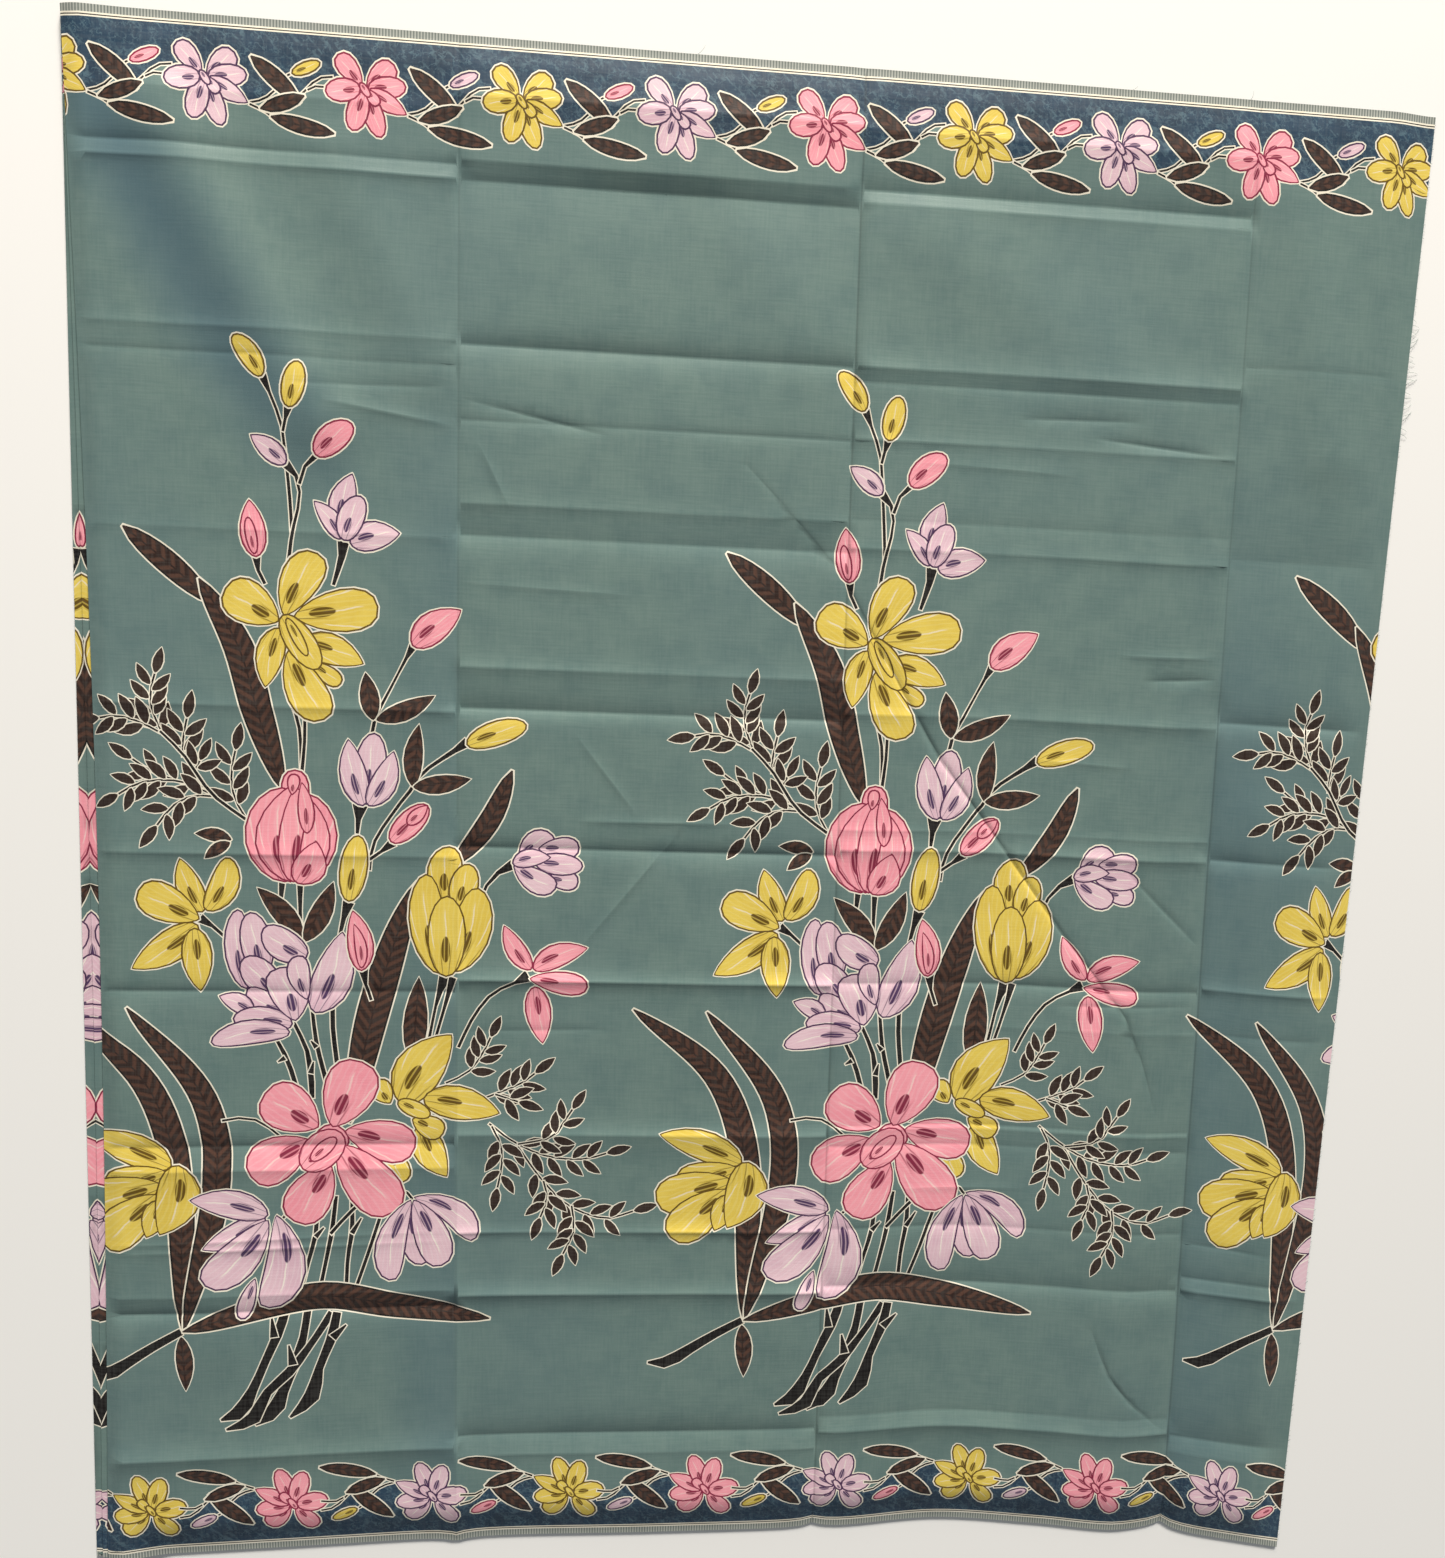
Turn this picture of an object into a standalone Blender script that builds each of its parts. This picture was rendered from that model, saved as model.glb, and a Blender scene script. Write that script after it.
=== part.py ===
"""A length of printed cotton cloth, folded in half and laid flat.

One cut of cloth makes two leaves. The upper leaf shows its printed face, from the fold on the
left to the raw cut on the right. The leaf below it and its pleat show only as a narrow strip at
the fold. Both selvedges run left to right, one along the top and one along the hem.

A place on the upper leaf is (along, across): metres to the right of the middle, and metres up
from the hem selvedge. The part stands on z = 0, under the middle of the cloth.
"""

import math

import bmesh
import bpy

# The cut, in metres.
CUT_WIDTH = 1.150
CLOTH_WALL = 0.0012
LAYER_GAP = 0.0003

# The lie of the upper leaf on the floor, in metres.
LEAN = 0.0125
SIDE_SHIFT = 0.0007
TOP_LINE_LEFT = 0.5757
TOP_LINE_RIGHT = 0.5687
HEM_LINE = -0.5758
FOLD_EDGE = -0.483
FOLD_EDGE_BOW = 0.008
RAW_EDGE_AT_HEM = 0.4645
RAW_EDGE_AT_TOP = 0.4970
SIDE_REACH = 0.49

# How far the hem lies above its lowest line: (along, lift).
HEM_LIFT = (
    (-0.490, 0.0115),
    (-0.359, 0.0170),
    (-0.190, 0.0240),
    (-0.060, 0.0245),
    (0.088, 0.0270),
    (0.170, 0.0330),
    (0.254, 0.0260),
    (0.317, 0.0185),
    (0.354, 0.0195),
    (0.404, 0.0110),
    (0.465, 0.0000),
    (0.500, -0.0050),
)

# Upright packet folds: (along, rise of the fold line, rise of the hem where the fold meets it).
UPRIGHT_FOLDS = (
    (-0.216, 0.0016, -0.004),
    (0.069, -0.0028, 0.004),
    (0.361, -0.0030, 0.008),
)
NOTCH_REACH = 0.009
NOTCH_DEPTH = 0.030

# Level packet folds: (across, rise in each of the four upright panels, in millimetres).
LEVEL_FOLDS = (
    (1.055, (-2.5, 3.5, -3.5, 1.0)),
    (0.938, (2.0, -3.0, 2.5, -1.5)),
    (0.812, (2.0, -3.8, 1.2, -3.0)),
    (0.681, (1.8, -3.4, 2.0, -3.4)),
    (0.573, (-1.6, 2.6, -3.0, -3.0)),
    (0.469, (-2.2, -2.4, -2.6, 1.2)),
    (0.341, (1.2, 2.2, -1.4, 1.6)),
    (0.222, (-2.0, -3.0, -3.2, -2.4)),
    (0.089, (3.4, 2.8, 3.4, -3.0)),
)
FOLD_SOFTNESS = 0.014
PANEL_BLEND = 0.010

# Heights of the heap, in metres.
RIM_TOP = 0.0015
EDGE_RISE = 0.0030
CROWN_RISE = 0.0035
RELIEF_LIMIT = 0.0040
RIM_REACH = 0.036
FOLD_ROUNDING = 0.014

# The layers under the upper leaf, in metres.
UNDER_INSET = 0.026
STRIP_INSET = 0.001
STRIP_BLEND = 0.050
STRIP_EDGE_AT_HEM = -0.4925
STRIP_EDGE_AT_TOP = -0.4840
STRIP_CREASE_SHARE = 0.55
STRIP_STEP = 0.0004
LOWEST_LAYER_TOP = 0.0018
LOWEST_LAYER_RIM = 0.0010
UNDER_SAG = 0.0004

# How closely the sections follow each other, in metres.
FOLD_SHOULDER = 0.010
RIM_SECTIONS = (0.008, 0.016, 0.026, 0.036)
ROUNDING_SECTIONS = (0.003, 0.008, 0.014, 0.026, 0.038, 0.050)
UPPER_STEP = 0.070
UNDER_STEP = 0.110

CLOTH_GREEN = (0.150, 0.270, 0.225, 1.0)
CLOTH_SHADE = (0.085, 0.165, 0.160, 1.0)


def smooth(share):
    """Eases a share of a way, from 0 to 1."""
    share = min(max(share, 0.0), 1.0)
    return share * share * (3.0 - 2.0 * share)


def read_table(table, place):
    """A smooth curve through a table of (place, value) rows."""
    if place <= table[0][0]:
        return table[0][1]
    if place >= table[-1][0]:
        return table[-1][1]
    row = max(i for i in range(len(table) - 1) if table[i][0] <= place)
    (x0, y0), (x1, y1) = table[row], table[row + 1]
    before = table[max(row - 1, 0)]
    after = table[min(row + 2, len(table) - 1)]
    span = x1 - x0
    slope0 = (y1 - before[1]) / (x1 - before[0]) * span
    slope1 = (after[1] - y0) / (after[0] - x0) * span
    t = (place - x0) / span
    return (
        y0 * (2 * t**3 - 3 * t**2 + 1)
        + slope0 * (t**3 - 2 * t**2 + t)
        + y1 * (3 * t**2 - 2 * t**3)
        + slope1 * (t**3 - t**2)
    )


def fold_edge(across):
    """Where the upper leaf turns under, on the left."""
    return FOLD_EDGE + FOLD_EDGE_BOW * math.sin(math.pi * across / CUT_WIDTH)


def raw_edge(across):
    """Where the upper leaf is cut, on the right."""
    return RAW_EDGE_AT_HEM + (RAW_EDGE_AT_TOP - RAW_EDGE_AT_HEM) * across / CUT_WIDTH


def strip_edge(across):
    """How far the lowest layer sticks out on the left."""
    return STRIP_EDGE_AT_HEM + (STRIP_EDGE_AT_TOP - STRIP_EDGE_AT_HEM) * across / CUT_WIDTH


def on_floor(along, across):
    """The (x, y) of a place on the cloth."""
    up = across / CUT_WIDTH
    side = (along + SIDE_REACH) / (2.0 * SIDE_REACH)
    top_line = TOP_LINE_LEFT + (TOP_LINE_RIGHT - TOP_LINE_LEFT) * side
    lift = read_table(HEM_LIFT, along) * (1.0 - up) ** 2
    for fold, _, notch in UPRIGHT_FOLDS:
        near = math.exp(-abs(along - fold) / NOTCH_REACH)
        lift += notch * near * math.exp(-across / NOTCH_DEPTH)
    x = along - LEAN * (across - CUT_WIDTH / 2.0) + SIDE_SHIFT
    y = HEM_LINE + (top_line - HEM_LINE) * up + lift
    return x, y


def fold_profile(distance):
    """The height of a pressed fold beside its line, 1 on the line itself."""
    return math.exp(-abs(distance) / FOLD_SOFTNESS)


def panel_shares(along):
    """How much a place belongs to each of the four upright panels."""
    past = [smooth(0.5 + (along - fold) / PANEL_BLEND) for fold, _, _ in UPRIGHT_FOLDS]
    bounds = [1.0] + past + [0.0]
    return [bounds[i] - bounds[i + 1] for i in range(len(bounds) - 1)]


def folds_height(along, across):
    """The rise and fall of the cloth at its packet folds."""
    height = 0.0
    for fold, rise, _ in UPRIGHT_FOLDS:
        height += rise * fold_profile(along - fold)
    shares = panel_shares(along)
    for level, rises in LEVEL_FOLDS:
        rise = sum(share * value for share, value in zip(shares, rises)) / 1000.0
        height += rise * fold_profile(across - level)
    return RELIEF_LIMIT * math.tanh(height / RELIEF_LIMIT)


def strip_share(along, across):
    """1 at the fold on the left, where the layers below reach both selvedges, 0 away from it."""
    return 1.0 - smooth((along - fold_edge(across)) / STRIP_BLEND)


def rim_share(along, across):
    """0 on the selvedges and the raw cut, 1 inside them and along the fold."""
    hem = smooth(across / RIM_REACH)
    top = smooth((CUT_WIDTH - across) / RIM_REACH)
    cut = smooth((raw_edge(across) - along) / RIM_REACH)
    near_fold = strip_share(along, across)
    return (hem * top * (1.0 - near_fold) + near_fold) * cut


def crown_share(along, across):
    """0 at the rounded fold on the left, 1 well inside it."""
    return math.sqrt(smooth((along - fold_edge(across)) / FOLD_ROUNDING))


def upper_height(along, across):
    """The height of the upper leaf's face."""
    rim = rim_share(along, across)
    crown = crown_share(along, across)
    heap = EDGE_RISE + CROWN_RISE * crown
    return RIM_TOP + rim * (heap + crown * folds_height(along, across))


def under_height(along, across):
    """The height of the layers below, clear of the upper leaf's deepest fold."""
    rim = rim_share(along, across)
    crown = crown_share(along, across)
    clear = CLOTH_WALL + LAYER_GAP + UNDER_SAG * crown
    return RIM_TOP - clear + rim * (EDGE_RISE + (CROWN_RISE - RELIEF_LIMIT) * crown)


def strip_height(across):
    """The height of the strip where the upper leaf's fold lies on it."""
    return under_height(fold_edge(across), across)


def stations(start, end, start_sections, folds, step):
    """Section places from start to end: near both rims, on and beside each fold, and between."""
    fixed = [start] + [start + section for section in start_sections]
    fixed += [end] + [end - section for section in RIM_SECTIONS]
    for fold in folds:
        fixed += [fold - FOLD_SHOULDER, fold, fold + FOLD_SHOULDER]
    fixed.sort()
    places = [fixed[0]]
    for place in fixed[1:]:
        count = max(1, round((place - places[-1]) / step))
        first = places[-1]
        places += [first + (place - first) * k / count for k in range(1, count + 1)]
    return places


def new_grid(name, columns, rows, place_vertex):
    """A grid with its vertices moved to place_vertex(column, row)."""
    mesh = bpy.data.meshes.new(name)
    shape = bmesh.new()
    grid = bmesh.ops.create_grid(shape, x_segments=columns, y_segments=rows, size=0.5)
    for vertex in grid["verts"]:
        column = round((vertex.co.x + 0.5) * columns)
        row = round((vertex.co.y + 0.5) * rows)
        vertex.co = place_vertex(column, row)
    bmesh.ops.triangulate(shape, faces=shape.faces[:])
    shape.to_mesh(mesh)
    shape.free()
    mesh.shade_smooth()
    return mesh


def upper_leaf():
    """The upper leaf: a wall of cloth with its packet folds pressed in."""
    folds = [fold for fold, _, _ in UPRIGHT_FOLDS]
    levels = [level for level, _ in LEVEL_FOLDS]
    middle = CUT_WIDTH / 2.0
    left = fold_edge(middle)
    right = raw_edge(middle)
    alongs = stations(left, right, ROUNDING_SECTIONS, folds, UPPER_STEP)
    acrosses = stations(0.0, CUT_WIDTH, RIM_SECTIONS, levels, UPPER_STEP)

    def place(column, row):
        across = acrosses[row]
        along = alongs[column]
        if along < folds[0]:
            share = (folds[0] - along) / (folds[0] - alongs[0])
            along = folds[0] + (fold_edge(across) - folds[0]) * share
        elif along > folds[-1]:
            share = (along - folds[-1]) / (alongs[-1] - folds[-1])
            along = folds[-1] + (raw_edge(across) - folds[-1]) * share
        x, y = on_floor(along, across)
        return x, y, upper_height(along, across)

    mesh = new_grid("upper_leaf", len(alongs) - 1, len(acrosses) - 1, place)
    leaf = bpy.data.objects.new("upper_leaf", mesh)
    wall = leaf.modifiers.new("cloth wall", "SOLIDIFY")
    wall.thickness = CLOTH_WALL
    wall.offset = -1.0
    return leaf


def under_layers():
    """The layers folded under: one low solid, flat below, stepped where they show on the left."""
    middle = CUT_WIDTH / 2.0
    left = fold_edge(middle)
    right = raw_edge(middle) - UNDER_INSET
    inside = stations(left, right, ROUNDING_SECTIONS, [], UNDER_STEP)
    levels = stations(0.0, 1.0, RIM_SECTIONS, [], UNDER_STEP)
    strip_columns = 3

    def place(column, row):
        share = (inside[max(column - strip_columns, 0)] - left) / (right - left)
        inset = STRIP_INSET
        if column > strip_columns:
            away = smooth((right - left) * share / STRIP_BLEND)
            inset += (UNDER_INSET - STRIP_INSET) * away
        across = inset + (CUT_WIDTH - 2.0 * inset) * levels[row]
        edge = strip_edge(across)
        fold = fold_edge(across)
        crease = edge + (fold - edge) * STRIP_CREASE_SHARE
        if column == 0:
            along, height = edge, LOWEST_LAYER_RIM
        elif column == 1:
            along, height = crease - STRIP_STEP, LOWEST_LAYER_TOP
        elif column == 2:
            along, height = crease, strip_height(across)
        else:
            along = fold + (raw_edge(across) - UNDER_INSET - fold) * share
            height = under_height(along, across)
        x, y = on_floor(along, across)
        return x, y, height

    columns = len(inside) - 1 + strip_columns
    mesh = new_grid("under_layers", columns, len(levels) - 1, place)
    shape = bmesh.new()
    shape.from_mesh(mesh)
    bmesh.ops.reverse_faces(shape, faces=shape.faces[:])
    lower = bmesh.ops.extrude_face_region(shape, geom=shape.faces[:])
    for vertex in lower["geom"]:
        if isinstance(vertex, bmesh.types.BMVert):
            vertex.co.z = 0.0
    bmesh.ops.recalc_face_normals(shape, faces=shape.faces[:])
    shape.to_mesh(mesh)
    shape.free()
    return bpy.data.objects.new("under_layers", mesh)


def cotton(name, colour):
    """Waxed cotton in one plain colour."""
    material = bpy.data.materials.new(name)
    material.use_nodes = True
    shader = material.node_tree.nodes["Principled BSDF"]
    shader.inputs["Base Color"].default_value = colour
    shader.inputs["Roughness"].default_value = 0.6
    shader.inputs["Metallic"].default_value = 0.0
    return material


def build():
    """Clears the scene and lays the folded cloth in it."""
    for old in list(bpy.data.objects):
        bpy.data.objects.remove(old, do_unlink=True)
    cloth = bpy.data.collections.new("folded printed cloth")
    bpy.context.scene.collection.children.link(cloth)
    pieces = (
        (upper_leaf(), cotton("waxed cotton, face", CLOTH_GREEN)),
        (under_layers(), cotton("waxed cotton, under layers", CLOTH_SHADE)),
    )
    for piece, material in pieces:
        piece.data.materials.append(material)
        cloth.objects.link(piece)


build()
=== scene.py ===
"""Looks for a length of waxed, printed cotton, folded in half and laid flat.

The print is laid into the mesh itself: every petal, leaf and line is an outline in the cloth's own
millimetres (along the hem, and across from the hem selvedge), the cloth's face is cut along those
outlines, and each patch takes the cotton of its dye. The face then follows the packet folds and
creases, which are finer than the folds of its solid in the frame.
"""

import math
from collections import namedtuple
from functools import partial

import bpy
import numpy as np
from mathutils import Matrix, Vector
from mathutils.geometry import delaunay_2d_cdt


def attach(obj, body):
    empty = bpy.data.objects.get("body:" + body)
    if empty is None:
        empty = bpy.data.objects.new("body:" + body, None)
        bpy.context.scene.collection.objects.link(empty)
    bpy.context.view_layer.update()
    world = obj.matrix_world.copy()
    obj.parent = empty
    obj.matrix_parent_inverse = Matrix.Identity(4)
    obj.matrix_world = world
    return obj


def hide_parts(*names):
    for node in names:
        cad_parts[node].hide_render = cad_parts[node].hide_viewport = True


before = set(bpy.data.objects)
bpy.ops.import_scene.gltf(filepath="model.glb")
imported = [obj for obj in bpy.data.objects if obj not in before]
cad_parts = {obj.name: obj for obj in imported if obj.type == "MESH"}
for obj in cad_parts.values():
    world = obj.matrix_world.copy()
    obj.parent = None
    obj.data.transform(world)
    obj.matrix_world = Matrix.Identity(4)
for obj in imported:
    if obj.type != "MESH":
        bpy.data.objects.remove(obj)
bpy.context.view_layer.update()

# Millimetres in a metre. Solids are in metres, and folds and the print in cloth millimetres.
MM = 1000.0

# The cut, in metres, as in the part's own source.
CUT_WIDTH = 1.150
CLOTH_WALL = 0.0012
LAYER_GAP = 0.0003
LEAN = 0.0125
SIDE_SHIFT = 0.0007
TOP_LINE_LEFT = 0.5757
TOP_LINE_RIGHT = 0.5687
HEM_LINE = -0.5758
FOLD_EDGE = -0.483
FOLD_EDGE_BOW = 0.008
RAW_EDGE_AT_HEM = 0.4645
RAW_EDGE_AT_TOP = 0.4970
SIDE_REACH = 0.49

# How far the hem lies above its lowest line: (along, lift).
HEM_LIFT = (
    (-0.490, 0.0115),
    (-0.359, 0.0170),
    (-0.190, 0.0240),
    (-0.060, 0.0245),
    (0.088, 0.0270),
    (0.170, 0.0330),
    (0.254, 0.0260),
    (0.317, 0.0185),
    (0.354, 0.0195),
    (0.404, 0.0110),
    (0.465, 0.0000),
    (0.500, -0.0050),
)

# Upright packet folds: (along, rise of the hem where the fold meets it).
UPRIGHT_FOLDS = ((-0.216, -0.004), (0.069, 0.004), (0.361, 0.008))
NOTCH_REACH = 0.009
NOTCH_DEPTH = 0.030

# The edges of the four panels between the upright folds, in millimetres along.
PANEL_EDGES = (-482.0, -216.0, 69.0, 361.0, 496.0)

# Level packet folds of each panel, in millimetres: (across, rise, width below, width above). A
# ridge has a rise above nothing, a valley one below nothing.
LEVEL_FOLDS = (
    (
        (85, 2.8, 9, 9), (205, -2.3, 6, 6), (219, 0.8, 6, 6), (321, 1.5, 9, 10),
        (340, -1.7, 9, 5), (462, -1.3, 6, 4), (567, 1.1, 4, 8), (677, 1.2, 5, 8),
        (804, 0.5, 6, 6), (926, -0.5, 5, 3), (944, 0.6, 5, 5), (1054, 1.1, 4, 5),
        (1064, -1.2, 5, 5), (1100, 0.9, 14, 10),
    ),
    (
        (76, 0.7, 4, 8), (93, -2.8, 9, 8), (215, 2.6, 6, 6), (267, 1.3, 3, 4),
        (348, 2.6, 14, 6), (472, 2.4, 5, 5), (575, -2.4, 6, 5), (680, -2.5, 5, 9),
        (711, 1.1, 8, 6), (807, -2.3, 8, 15), (830, 0.8, 6, 8), (889, -0.6, 4, 3),
        (942, -2.7, 8, 7), (1054, -3.0, 24, 7), (1067, 1.4, 6, 24), (1110, 3.0, 26, 12),
    ),
    (
        (91, 2.5, 8, 8), (104, -0.6, 5, 6), (218, -2.4, 6, 12), (268, -0.6, 4, 4),
        (338, -0.9, 7, 7), (352, 0.6, 4, 4), (355, -0.6, 3, 5), (438, 0.4, 6, 5),
        (473, -1.6, 5, 6), (580, 1.6, 5, 7), (596, 0.4, 3, 3), (686, 1.3, 7, 7),
        (811, 0.8, 4, 7), (832, -0.5, 7, 7), (891, 0.6, 3, 4), (932, -0.8, 4, 6),
        (943, 1.7, 8, 8), (1058, 0.8, 6, 5), (1067, -2.5, 9, 9), (1108, 2.2, 20, 12),
    ),
    (
        (75, 0.5, 5, 8), (89, -2.8, 9, 15), (220, 1.5, 4, 5), (231, -1.3, 4, 6),
        (440, -0.6, 6, 5), (477, 1.4, 4, 4), (582, -2.1, 5, 7), (691, -2.5, 5, 8),
        (817, -2.6, 34, 30), (960, -0.4, 4, 3),
    ),
)
PANEL_INSET = 2.0
LEVEL_FADE = 4.0
CREASE_TAPER = 0.8

# How the face rises from its rims, and how deep the folds may go, in metres. TOP_RIM_FALL is the
# share of the other rims' fall that the top rim has.
RELIEF_LIMIT = 0.0040
RIM_TOP = 0.0015
EDGE_RISE = 0.0030
CROWN_RISE = 0.0035
RIM_REACH = 0.036
TOP_RIM_REACH = 0.022
TOP_RIM_FALL = 0.30
FOLD_ROUNDING = 0.014
STRIP_BLEND = 0.050

# The leaf's thin sheet, and how its back turns down to the pleat at the fold, in metres.
SHEET_THICKNESS = 0.0007
BACK_CLEARANCE = 0.0011
FOLD_DEPTH = 0.0006
FOLD_TURN = 0.003

# Upright folds, in cloth millimetres: (along, from across, to across, rise, width to the right,
# width to the left, how dark the painted shade on its line is).
UPRIGHT_LINES = (
    (-216, 4, 560, 1.1, 4, 10, 0.10),
    (-216, 600, 1146, -0.7, 4, 3, 0.16),
    (69, 4, 1146, -1.5, 3, 5, 0.34),
    (361, 4, 700, -2.1, 4, 11, 0.34),
    (361, 700, 1146, -1.1, 4, 5, 0.20),
)

# Finer creases, in cloth millimetres, each deepest half way: (along, across, along, across, rise,
# width to the right of the way, width to its left).
CREASES = (
    (-339, 908, -221, 911, -0.7, 3, 4),
    (190, 912, 291, 915, -0.9, 3, 3),
    (-314, 898, -219, 884, 0.8, 4, 4),
    (-214, 904, -109, 883, -1.0, 4, 3),
    (249, 901, 351, 893, -1.0, 3, 3),
    (120, 876, 240, 872, 0.6, 3, 4),
    (-214, 772, -90, 768, 0.5, 4, 4),
    (277, 739, 356, 740, 0.9, 3, 3),
    (297, 721, 357, 724, -1.0, 3, 3),
    (210, 655, 300, 652, 0.6, 3, 3),
    (-129, 597, -5, 598, 1.0, 3, 3),
    (240, 458, 359, 462, -0.7, 4, 4),
    (-214, 431, -100, 434, -0.7, 4, 3),
    (-481, 254, -223, 260, 0.8, 3, 3),
    (-481, 261, -223, 268, 0.7, 3, 3),
    (120, 300, 230, 302, 0.5, 4, 4),
    (356, 262, 438, 258, -0.7, 4, 4),
    (291, 575, 357, 511, -0.8, 2, 3),
    (-203, 875, -180, 828, 0.6, 3, 3),
    (-133, 666, -83, 602, 0.6, 3, 3),
    (-48, 595, -128, 493, 0.6, 3, 3),
)
# How dark the painted shade on the finer creases is.
CREASE_PAINTED_SHADE = 0.12

# The long slanting creases, as (along, across, fall) along each.
LONG_CREASES = (
    (
        (-8, 868, 0.2), (63, 794, 0.8), (121, 692, 1.2), (145, 652, 1.3), (221, 552, 1.3),
        (249, 515, 1.2), (303, 451, 1.0), (320, 410, 0.6), (330, 376, 0.1),
    ),
    ((291, 183, 0.1), (299, 162, 0.8), (308, 141, 0.9), (328, 118, 0.8), (349, 99, 0.2)),
)
LONG_CREASE_WIDTH = 2.2
# How dark the painted shade is where a long crease falls deepest.
LONG_CREASE_PAINTED_SHADE = 0.40

# How a fold's rise wanders along it: (share of the rise, millimetres to a radian of the sway).
FOLD_SWAY = (0.22, 41.0)
UPRIGHT_FADE = 14.0

# A fold or crease, in millimetres: the widths of its slopes to the right and left of its way, how
# far it fades past its ends, how it tapers to them, and how dark the painted shade on its line is.
Pressed = namedtuple("Pressed", "start end rise right left fade taper dark")

# Broad, soft waves, in cloth millimetres: (along, across, along, across, rise, half width).
WAVES = (
    (-424, 1085, -318, 890, 4.6, 30.0),
    (-300, 1060, -236, 930, 1.6, 26.0),
    (-40, 1060, 40, 960, 1.4, 34.0),
    (120, 1040, 250, 960, 1.6, 36.0),
    (392, 1090, 430, 900, 2.0, 24.0),
    (-450, 420, -400, 180, 1.4, 28.0),
    (-20, 480, 40, 180, 1.2, 40.0),
    (400, 620, 430, 240, 1.6, 22.0),
)


def smooth(share):
    """Eases shares of a way, from 0 to 1."""
    share = np.clip(share, 0.0, 1.0)
    return share * share * (3.0 - 2.0 * share)


def read_table(table, places):
    """A smooth curve through a table of (place, value) rows."""
    rows = np.array(table)
    places = np.clip(places, rows[0, 0], rows[-1, 0])
    row = np.clip(np.searchsorted(rows[:, 0], places, side="right") - 1, 0, len(rows) - 2)
    before = rows[np.maximum(row - 1, 0)]
    after = rows[np.minimum(row + 2, len(rows) - 1)]
    low, high = rows[row], rows[row + 1]
    span = high[..., 0] - low[..., 0]
    slope0 = (high[..., 1] - before[..., 1]) / (high[..., 0] - before[..., 0]) * span
    slope1 = (after[..., 1] - low[..., 1]) / (after[..., 0] - low[..., 0]) * span
    t = (places - low[..., 0]) / span
    return (
        low[..., 1] * (2 * t**3 - 3 * t**2 + 1)
        + slope0 * (t**3 - 2 * t**2 + t)
        + high[..., 1] * (3 * t**2 - 2 * t**3)
        + slope1 * (t**3 - t**2)
    )


def fold_edge(across):
    """Where the upper leaf turns under, on the left."""
    return FOLD_EDGE + FOLD_EDGE_BOW * np.sin(np.pi * across / CUT_WIDTH)


def raw_edge(across):
    """Where the upper leaf is cut, on the right."""
    return RAW_EDGE_AT_HEM + (RAW_EDGE_AT_TOP - RAW_EDGE_AT_HEM) * across / CUT_WIDTH


def on_floor(along, across):
    """The (x, y) of places on the cloth."""
    up = across / CUT_WIDTH
    side = (along + SIDE_REACH) / (2.0 * SIDE_REACH)
    top_line = TOP_LINE_LEFT + (TOP_LINE_RIGHT - TOP_LINE_LEFT) * side
    lift = read_table(HEM_LIFT, along) * (1.0 - up) ** 2
    for fold, notch in UPRIGHT_FOLDS:
        near = np.exp(-np.abs(along - fold) / NOTCH_REACH)
        lift = lift + notch * near * np.exp(-across / NOTCH_DEPTH)
    x = along - LEAN * (across - CUT_WIDTH / 2.0) + SIDE_SHIFT
    y = HEM_LINE + (top_line - HEM_LINE) * up + lift
    return x, y


def pressed_lines():
    """Every packet fold and fine crease of the upper leaf."""
    lines = []
    for near, far, folds in zip(PANEL_EDGES, PANEL_EDGES[1:], LEVEL_FOLDS):
        for level, rise, below, above in folds:
            start, end = (near + PANEL_INSET, level), (far - PANEL_INSET, level)
            lines.append(Pressed(start, end, rise, below, above, LEVEL_FADE, 0.0, 0.0))
    for along, low, high, rise, right, left, dark in UPRIGHT_LINES:
        lines.append(Pressed((along, low), (along, high), rise, right, left, UPRIGHT_FADE, 0.0, dark))
    for row in CREASES:
        lines.append(Pressed(row[:2], row[2:4], *row[4:], LEVEL_FADE, CREASE_TAPER, CREASE_PAINTED_SHADE))
    return lines


def beside_line(along, across, start, end):
    """How many millimetres places lie past a line's ends, along it, and off to its left."""
    way = np.array([end[0] - start[0], end[1] - start[1]])
    length = np.hypot(*way)
    way = way / length
    reach_along = along * MM - start[0]
    reach_across = across * MM - start[1]
    run = reach_along * way[0] + reach_across * way[1]
    off = reach_across * way[0] - reach_along * way[1]
    return np.maximum(0.0, np.maximum(-run, run - length)), run, off


def tapered(line, past, run):
    """How strong a fold or crease is along its run, fading past its ends."""
    fade = np.exp(-((past / line.fade) ** 2))
    if not line.taper:
        return fade
    length = math.hypot(line.end[0] - line.start[0], line.end[1] - line.start[1])
    return np.sin(np.pi * np.clip(run / length, 0.0, 1.0)) ** line.taper * fade


def long_crease(along, across, points):
    """How far places lie from a long crease, and its fall nearest to them."""
    way = np.array(points, float)
    distance = np.full_like(along, np.inf)
    fall = np.zeros_like(along)
    for start, end in zip(way[:-1], way[1:]):
        past, run, off = beside_line(along, across, start, end)
        length = math.hypot(end[0] - start[0], end[1] - start[1])
        reach = np.hypot(off, past)
        nearer = reach < distance
        distance = np.where(nearer, reach, distance)
        here = start[2] + (end[2] - start[2]) * np.clip(run / length, 0.0, 1.0)
        fall = np.where(nearer, here, fall)
    return distance, fall


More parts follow.
